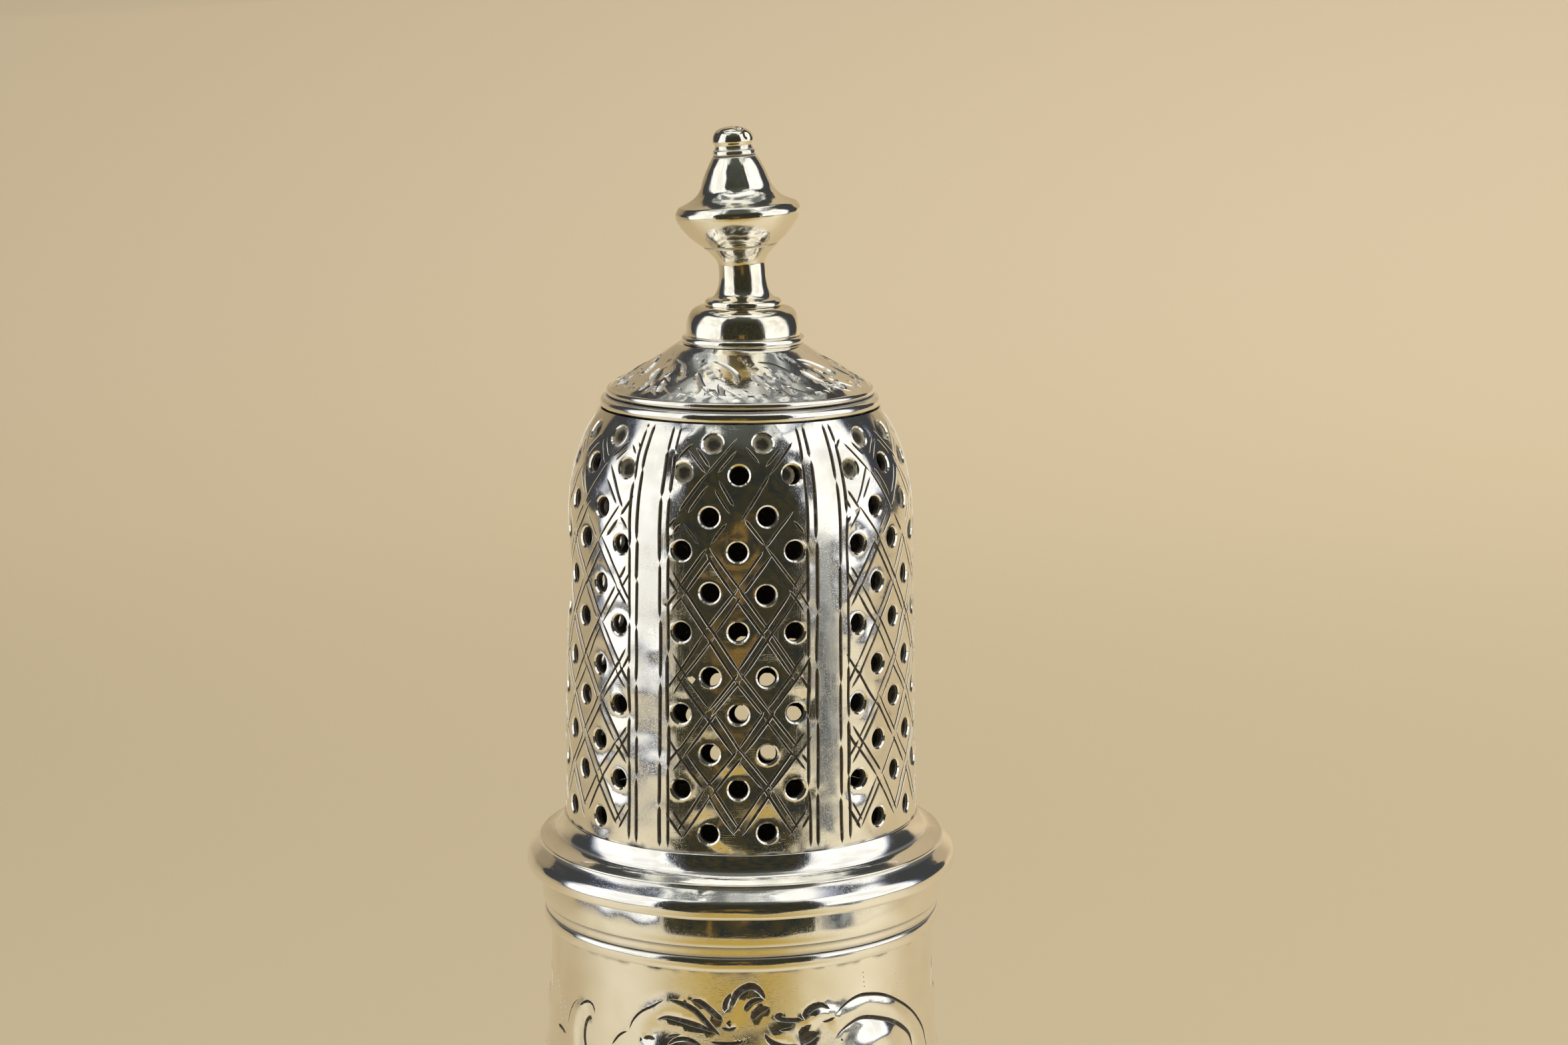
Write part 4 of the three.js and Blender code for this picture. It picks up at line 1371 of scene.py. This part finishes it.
def make_cap():
    line = Outline(CAP_EDGE, CAP_Z).bend((12.6, 152.6), (10.2, 153.6), (7.7, 155.5), steps=24)
    line.to(7.0, BOSS_RING_Z)
    sheet = Sheet(spaced(line.points, 0.5, closed=False), CAP_SCALE)
    relief = wavy((0.022, 7, 43), (0.004, 2.5, 44))
    outside = chased_sheet(sheet, *cap_chasing(sheet), relief, CAP_SIDES, 22, 0.36, edge=0.7, dirt=0.26)
    top = Outline(7.0, BOSS_RING_Z).to(0.02, BOSS_RING_Z)
    under = Outline(0.02, 155.0).to(6.1, 155.0).to(13.3, CAP_Z).to(CAP_EDGE, CAP_Z)
    strips = [turned_strip(side.points, CAP_SIDES) for side in (top, under)]
    sheet_piece("cap_chased", "cap", [outside, *strips], sharp=26)


# The finial

# It bends over a few mm above its seat, and leans round a point there.
FINIAL_LEAN = 3.8
BEND_FROM = 160.6
BEND_LENGTH = 4.5
LEAN_CENTRE = 162.6
CUP_STEM = 2.66


def make_finial():
    line = Outline(0, FINIAL_Z).to(FINIAL_SEAT, FINIAL_Z).to(FINIAL_SEAT, 160.6).to(4.0, 160.9)
    line.flat_then_steep(CUP_STEM, 164.1, 16).to(CUP_STEM, 164.7).bend((CUP_STEM, 165.4), (4.1, 166.7))
    line.to(4.1, 166.9).to(4.3, 166.9).bend((6.3, 168.5), (7.0, 170.2), steps=18)
    line.to(7.0, 170.7).to(6.6, 171.35)
    line.bend((4.4, 172.1), (3.9, 173.5)).bend((3.3, 175.2), (2.4, 176.7)).to(2.2, 176.7).bead(0.15, 0.7, 4)
    line.to(2.05, 177.85).to(2.3, 178.3).steep_then_flat(0, FINIAL_TOP, 20)
    outline = spaced(softened(line.points, 0.16, closed=False), 0.5, closed=False)

    def relief(p):
        return wavy((0.022, 6, 51), (0.007, 2.2, 52), (0.003, 1, 53))(p) - dents(p, FINIAL_KNOCKS)

    points, faces = turned_mesh(outline, FINIAL_SIDES, relief)
    bent = np.clip((points[:, 2] - BEND_FROM) / BEND_LENGTH, 0, 1)
    angle = -math.radians(FINIAL_LEAN) * bent**2 * (3 - 2 * bent)
    x, z = points[:, 0], points[:, 2] - LEAN_CENTRE
    points[:, 0] = OFF_AXIS + x * np.cos(angle) + z * np.sin(angle)
    points[:, 2] = LEAN_CENTRE - x * np.sin(angle) + z * np.cos(angle)
    make_piece("finial_cast", "finial", points, faces, 0.3 * hollows(outline, FINIAL_SIDES, True))


# The studio

# Soft boxes: strength, tones of middle and edge, distance in metres and upper edges.
BOX_STRENGTH = 1.3
BOX_WHITE = (1, 1, 0.98, 1)
COOL_EDGE = (0.45, 0.55, 0.85, 1)
BOX_AZIMUTH = 76
BOX_DISTANCE = 0.46
BOX_HIGH = 0.95
BOX_BACK_HIGH = 0.6

# Tones of the room and the paper, each pair from dark to pale. The paper's tones hold painted light and
# shade.
CEILING_TONES = ((0.17, 0.185, 0.19, 1), (0.95, 0.96, 0.92, 1))
FLOOR_TONES = ((0.02, 0.025, 0.026, 1), (0.055, 0.045, 0.018, 1))
SHADE_TONES = ((0.1, 0.105, 0.11, 1), (0.36, 0.37, 0.36, 1))
DIM_GREY = (0.08, 0.09, 0.08, 1)
WARM_SPOT = (0.22, 0.135, 0.038, 1)
NEAR_PAPER = (0.5, 0.35, 0.085, 1)
BACK_PAPER_PAINTED_SHADE_TO_LIGHT = ((0.405, 0.337, 0.22, 1), (0.6, 0.503, 0.353, 1))
NEAR_FLOOR_PAINTED_LIGHT = (0.55, 0.5, 0.385, 1)
ROOM_DARK = (0.05, 0.052, 0.056, 1)
ROOM_PALE = (0.6, 0.49, 0.32, 1)
LAMP_TONE = (1.0, 0.97, 0.94)

# The lamp's place, size and power.
LAMP_PLACE = (0.6, 0.2, 2.4)
LAMP_SIZE = 3.2
LAMP_WATTS = 110

# Corners of the cards that don't face the caster upright.
CEILING = ((-0.9, -0.9, 1.5), (0.9, -0.9, 1.5), (0.9, 0.85, 1.5), (-0.9, 0.85, 1.5))
TOP_BOX = ((-0.8, -0.12, 1.1), (0.8, -0.5, 1.1), (0.8, 0.0, 1.15), (-0.8, 0.0, 1.15))
DARK_SIDE = ((0.3, -0.335, 0.002), (-0.3, -0.335, 0.002), (-0.16, -0.345, 0.95), (0.16, -0.345, 0.95))
FRONT_PAPER = ((-0.3, -0.33, 0.001), (0.3, -0.33, 0.001), (0.3, -0.06, 0.001), (-0.3, -0.06, 0.001))

# The paper: the sides of the sheet, how far the strips beside it reach, where its coves start
# behind and in front, how wide a cove is, and how high the paper stands behind and elsewhere.
PAPER_LEFT = -1.5
PAPER_RIGHT = 1.1
PAPER_END = 6
COVE_BACK = 0.9
COVE_FRONT = -2.5
COVE = 0.4
BACK_HIGH = 1.25
SIDE_HIGH = 2.5


def card(name, corners, shade):
    """A flat light or flag that shows in reflections and not to the camera."""
    mesh = bpy.data.meshes.new(name)
    mesh.from_pydata([tuple(c) for c in corners], [], [(0, 1, 2, 3)])
    layer = mesh.uv_layers.new(name="UVMap")
    for i, uv in enumerate(((0, 0), (1, 0), (1, 1), (0, 1))):
        layer.data[i].uv = uv
    shader = Shader(name)
    shader.tree.nodes.remove(shader.surface)
    light = shader.add("ShaderNodeEmission")
    across = shader.add("ShaderNodeSeparateXYZ", {0: shader.add("ShaderNodeUVMap").outputs[0]}).outputs
    clear = shade(shader, light, across[0], across[1])
    result = light.outputs[0]
    if clear is not None:
        glass = shader.add("ShaderNodeBsdfTransparent")
        result = shader.add("ShaderNodeMixShader", {0: clear, 1: result, 2: glass.outputs[0]}).outputs[0]
    shader.put(shader.tree.nodes["Material Output"].inputs["Surface"], result)
    mesh.materials.append(shader.material)
    obj = linked(name, mesh)
    obj.visible_camera = False
    obj.visible_shadow = False
    return obj


def edges(shader, u, v, left, right, bottom, top):
    """1 in the middle of a card, falling to 0 at its borders over these shares of its size."""
    product = 1.0
    for value, low, high in ((u, 0, left), (u, 1, 1 - right), (v, 0, bottom), (v, 1, 1 - top)):
        inputs = {"Value": value, "From Min": low, "From Max": high}
        fade = shader.add("ShaderNodeMapRange", inputs, interpolation_type="SMOOTHSTEP").outputs[0]
        product = shader.math("MULTIPLY", fade, product)
    return product


def ceiling(shader, light, u, v):
    """The dim room above: grey, with uneven lighter clouds, and a window behind."""
    away = shader.math("ABSOLUTE", shader.math("SUBTRACT", u, 0.47))
    window = shader.math("MULTIPLY", shader.ramp(away, 0.14, 0.08), shader.ramp(v, 0.76, 0.82))
    cloud = shader.ramp(shader.noise(0.0035, detail=2), 0.42, 0.58)
    cloud = shader.math("MAXIMUM", cloud, window)
    shader.put(light.inputs["Color"], shader.mix(cloud, *CEILING_TONES))


def soft_box(left, right, bottom, top):
    """A soft box: even in the middle, falling off over these shares to a cool, dim edge."""

    def shade(shader, light, u, v):
        even = edges(shader, u, v, left, right, bottom, top)
        shader.put(light.inputs["Color"], shader.mix(even, COOL_EDGE, BOX_WHITE))
        power = shader.ramp(even, 0, 1, 0.1, BOX_STRENGTH)
        cloud = shader.ramp(shader.noise(0.006, detail=3), 0.35, 0.6, 0.72, 1.0)
        shader.put(light.inputs["Strength"], shader.math("MULTIPLY", power, cloud))

    return shade


def dark_side(shader, light, u, v):
    """The unlit room behind the camera: black below, where something warm shows in places,
    and a dim grey above."""

    def spot(centre, reach, low, high):
        away = shader.math("ABSOLUTE", shader.math("SUBTRACT", u, centre))
        height = shader.math("MULTIPLY", shader.ramp(v, low, low + 0.03), shader.ramp(v, high, high - 0.03))
        return shader.math("MULTIPLY", shader.ramp(away, reach, reach * 0.3), height)

    warm = shader.math("MAXIMUM", spot(0.53, 0.16, 0.05, 0.16), spot(0.66, 0.05, -0.05, 0.1))
    warm = shader.math("MULTIPLY", warm, shader.ramp(shader.noise(0.035, detail=4), 0.42, 0.6))
    below = shader.ramp(shader.noise(0.03, detail=4), 0.4, 0.62)
    below = shader.mix(below, *FLOOR_TONES)
    room = shader.mix(shader.ramp(v, 0.3, 0.75), below, DIM_GREY)
    shader.put(light.inputs["Color"], shader.mix(warm, room, WARM_SPOT))


def front_paper(shader, light, u, v):
    """The paper in front of the caster, in the camera's shade, seen only in reflections."""
    light.inputs["Color"].default_value = NEAR_PAPER
    return shader.math("SUBTRACT", 1.0, edges(shader, u, v, 0.42, 0.42, 0.05, 0.5))


def side_shade(shader, light, u, v):
    """What stands under the right soft box: a dim, clouded grey."""
    cloud = shader.ramp(shader.noise(0.03, detail=3), 0.35, 0.65)
    shader.put(light.inputs["Color"], shader.mix(cloud, *SHADE_TONES))
    return shader.math("SUBTRACT", 1.0, edges(shader, u, v, 0.2, 0.4, 0.05, 0.2))


def upright(azimuth, distance, width, low, high, back_high):
    """Corners of a card that stands facing the caster. Azimuth 0 is the camera's side, and
    it turns towards +X. The corner that is further from the camera can be lower."""
    a = math.radians(azimuth)
    middle = np.array([math.sin(a), -math.cos(a)]) * distance
    side = np.array([math.cos(a), math.sin(a)]) * width / 2
    left, right = middle - side, middle + side
    tops = (high, back_high) if azimuth > 0 else (back_high, high)
    return [(*right, low), (*left, low), (*left, tops[0]), (*right, tops[1])]


def paper_with_painted_light():
    """Beige paper with painted light and shade: lighter to the right, paler up its wall and on the floor in
    front, and darker where it lies flat behind the caster.
    """
    s = Shader("paper")
    where = s.add("ShaderNodeSeparateXYZ", {0: s.place}).outputs
    # Painted shade: darker where the paper lies low and near, paler as it rises and runs back.
    far = s.math("ADD", where[1], where[2])
    tone = s.mix(s.ramp(far, 0.3, 1.6), *BACK_PAPER_PAINTED_SHADE_TO_LIGHT)
    # Painted light on the floor in front of the caster.
    tone = s.mix(s.ramp(where[1], 0.15, -0.1), tone, NEAR_FLOOR_PAINTED_LIGHT)
    # Painted light: the paper is lighter to the right.
    side = s.ramp(where[0], -0.5, 0.5, 0.93, 1.07)
    tone = s.add("ShaderNodeVectorMath", {0: tone, "Scale": side}, operation="SCALE").outputs[0]
    s.put(s.surface.inputs["Base Color"], tone)
    s.surface.inputs["Roughness"].default_value = 0.9
    s.surface.inputs["Specular IOR Level"].default_value = 0.1
    return s.material


def paper(name, points, material, backdrop=True):
    """A strip of paper through pairs of points. A backdrop is there for the camera alone, so
    it changes no reflection and no light."""
    faces = [(i, i + 1, i + 3, i + 2) for i in range(0, len(points) - 2, 2)]
    mesh = bpy.data.meshes.new(name)
    mesh.from_pydata(points, [], faces)
    mesh.polygons.foreach_set("use_smooth", [True] * len(faces))
    mesh.materials.append(material)
    obj = linked(name, mesh)
    if backdrop:
        obj.visible_glossy = obj.visible_diffuse = obj.visible_shadow = False


def make_papers():
    """The sheet that the caster stands on, and what lies and stands round it."""
    material = paper_with_painted_light()
    cove = [(COVE * math.sin(t), COVE - COVE * math.cos(t)) for t in np.linspace(0.1, math.pi / 2, 14)]
    profile = [(COVE_FRONT, 0.0), (COVE_BACK, 0.0), *[(COVE_BACK + y, z) for y, z in cove]]
    profile.append((COVE_BACK + COVE, BACK_HIGH))
    front = [(COVE_FRONT - COVE, SIDE_HIGH), *[(COVE_FRONT - y, z) for y, z in reversed(cove)]]
    front.append((COVE_FRONT, 0.0))

    def strip(name, line, low, high, **looks):
        paper(name, [(x, y, z) for y, z in line for x in (low, high)], material, **looks)

    strip("paper_sweep", profile, PAPER_LEFT, PAPER_RIGHT, backdrop=False)
    strip("paper_front", front, PAPER_LEFT, PAPER_RIGHT)
    strip("paper_left", front + profile[1:], -PAPER_END, PAPER_LEFT)
    strip("paper_right", front + profile[1:], PAPER_RIGHT, PAPER_END)
    rise = [(0, 0.0), *cove, (COVE, SIDE_HIGH)]
    for side, name in ((-1, "paper_left_end"), (1, "paper_right_end")):
        ends = (COVE_FRONT - COVE, COVE_BACK + COVE)
        paper(name, [(side * (PAPER_END + x), y, z) for x, z in rise for y in ends], material)


def make_cards():
    """The lights and the dark room that the silver mirrors."""
    left = upright(-BOX_AZIMUTH, BOX_DISTANCE, 0.56, 0.01, BOX_HIGH, BOX_BACK_HIGH)
    right = upright(BOX_AZIMUTH, BOX_DISTANCE, 0.6, 0.05, BOX_HIGH, BOX_BACK_HIGH)
    card("soft_box_left", left, soft_box(0.06, 0.2, 0.05, 0.1))
    card("soft_box_right", right, soft_box(0.2, 0.06, 0.05, 0.1))
    card("side_shade", upright(54, 0.42, 0.2, 0.002, 0.1, 0.1), side_shade)
    card("ceiling", CEILING, ceiling)
    card("soft_box_top", TOP_BOX, soft_box(0.25, 0.25, 0.1, 0.2))
    card("dark_side", DARK_SIDE, dark_side).visible_diffuse = False
    # Seen from the floor just under it, this card would light the paper orange.
    card("front_paper", FRONT_PAPER, front_paper).visible_diffuse = False


def make_lamp():
    """A wide, soft light from above that shows in no reflection."""
    fill = bpy.data.lights.new("fill", "AREA")
    fill.shape = "RECTANGLE"
    fill.size = fill.size_y = LAMP_SIZE
    fill.energy = LAMP_WATTS
    fill.color = LAMP_TONE
    lamp = linked("fill", fill)
    lamp.location = LAMP_PLACE
    lamp.visible_glossy = False
    lamp.visible_camera = False


def make_room():
    """A dark room that the camera sees as pale paper."""
    world = bpy.data.worlds.new("room")
    world.use_nodes = True
    tree = world.node_tree
    dark = tree.nodes["Background"]
    dark.inputs[0].default_value = ROOM_DARK
    pale = tree.nodes.new("ShaderNodeBackground")
    pale.inputs[0].default_value = ROOM_PALE
    path = tree.nodes.new("ShaderNodeLightPath")
    mix = tree.nodes.new("ShaderNodeMixShader")
    for source, target in zip((path.outputs["Is Camera Ray"], dark.outputs[0], pale.outputs[0]), mix.inputs):
        tree.links.new(source, target)
    tree.links.new(mix.outputs[0], tree.nodes["World Output"].inputs["Surface"])
    bpy.context.scene.world = world
    bpy.context.scene.view_settings.view_transform = "Standard"
    bpy.context.scene.view_settings.look = "None"


def make_camera():
    camera = bpy.data.cameras.new("camera")
    camera.sensor_width = 36
    camera.lens = camera.sensor_width * FOCAL_PIXELS / PHOTO_WIDTH
    camera.clip_start = 0.02
    eye = linked("camera", camera)
    eye.location = CAMERA_PLACE
    eye.rotation_euler = (math.radians(90 - CAMERA_TILT), 0, 0)
    bpy.context.scene.camera = eye


make_foot()
make_body()
make_mouth()
make_flange()
make_dome()
make_top()
make_cap()
make_finial()
make_papers()
make_cards()
make_lamp()
make_room()
make_camera()
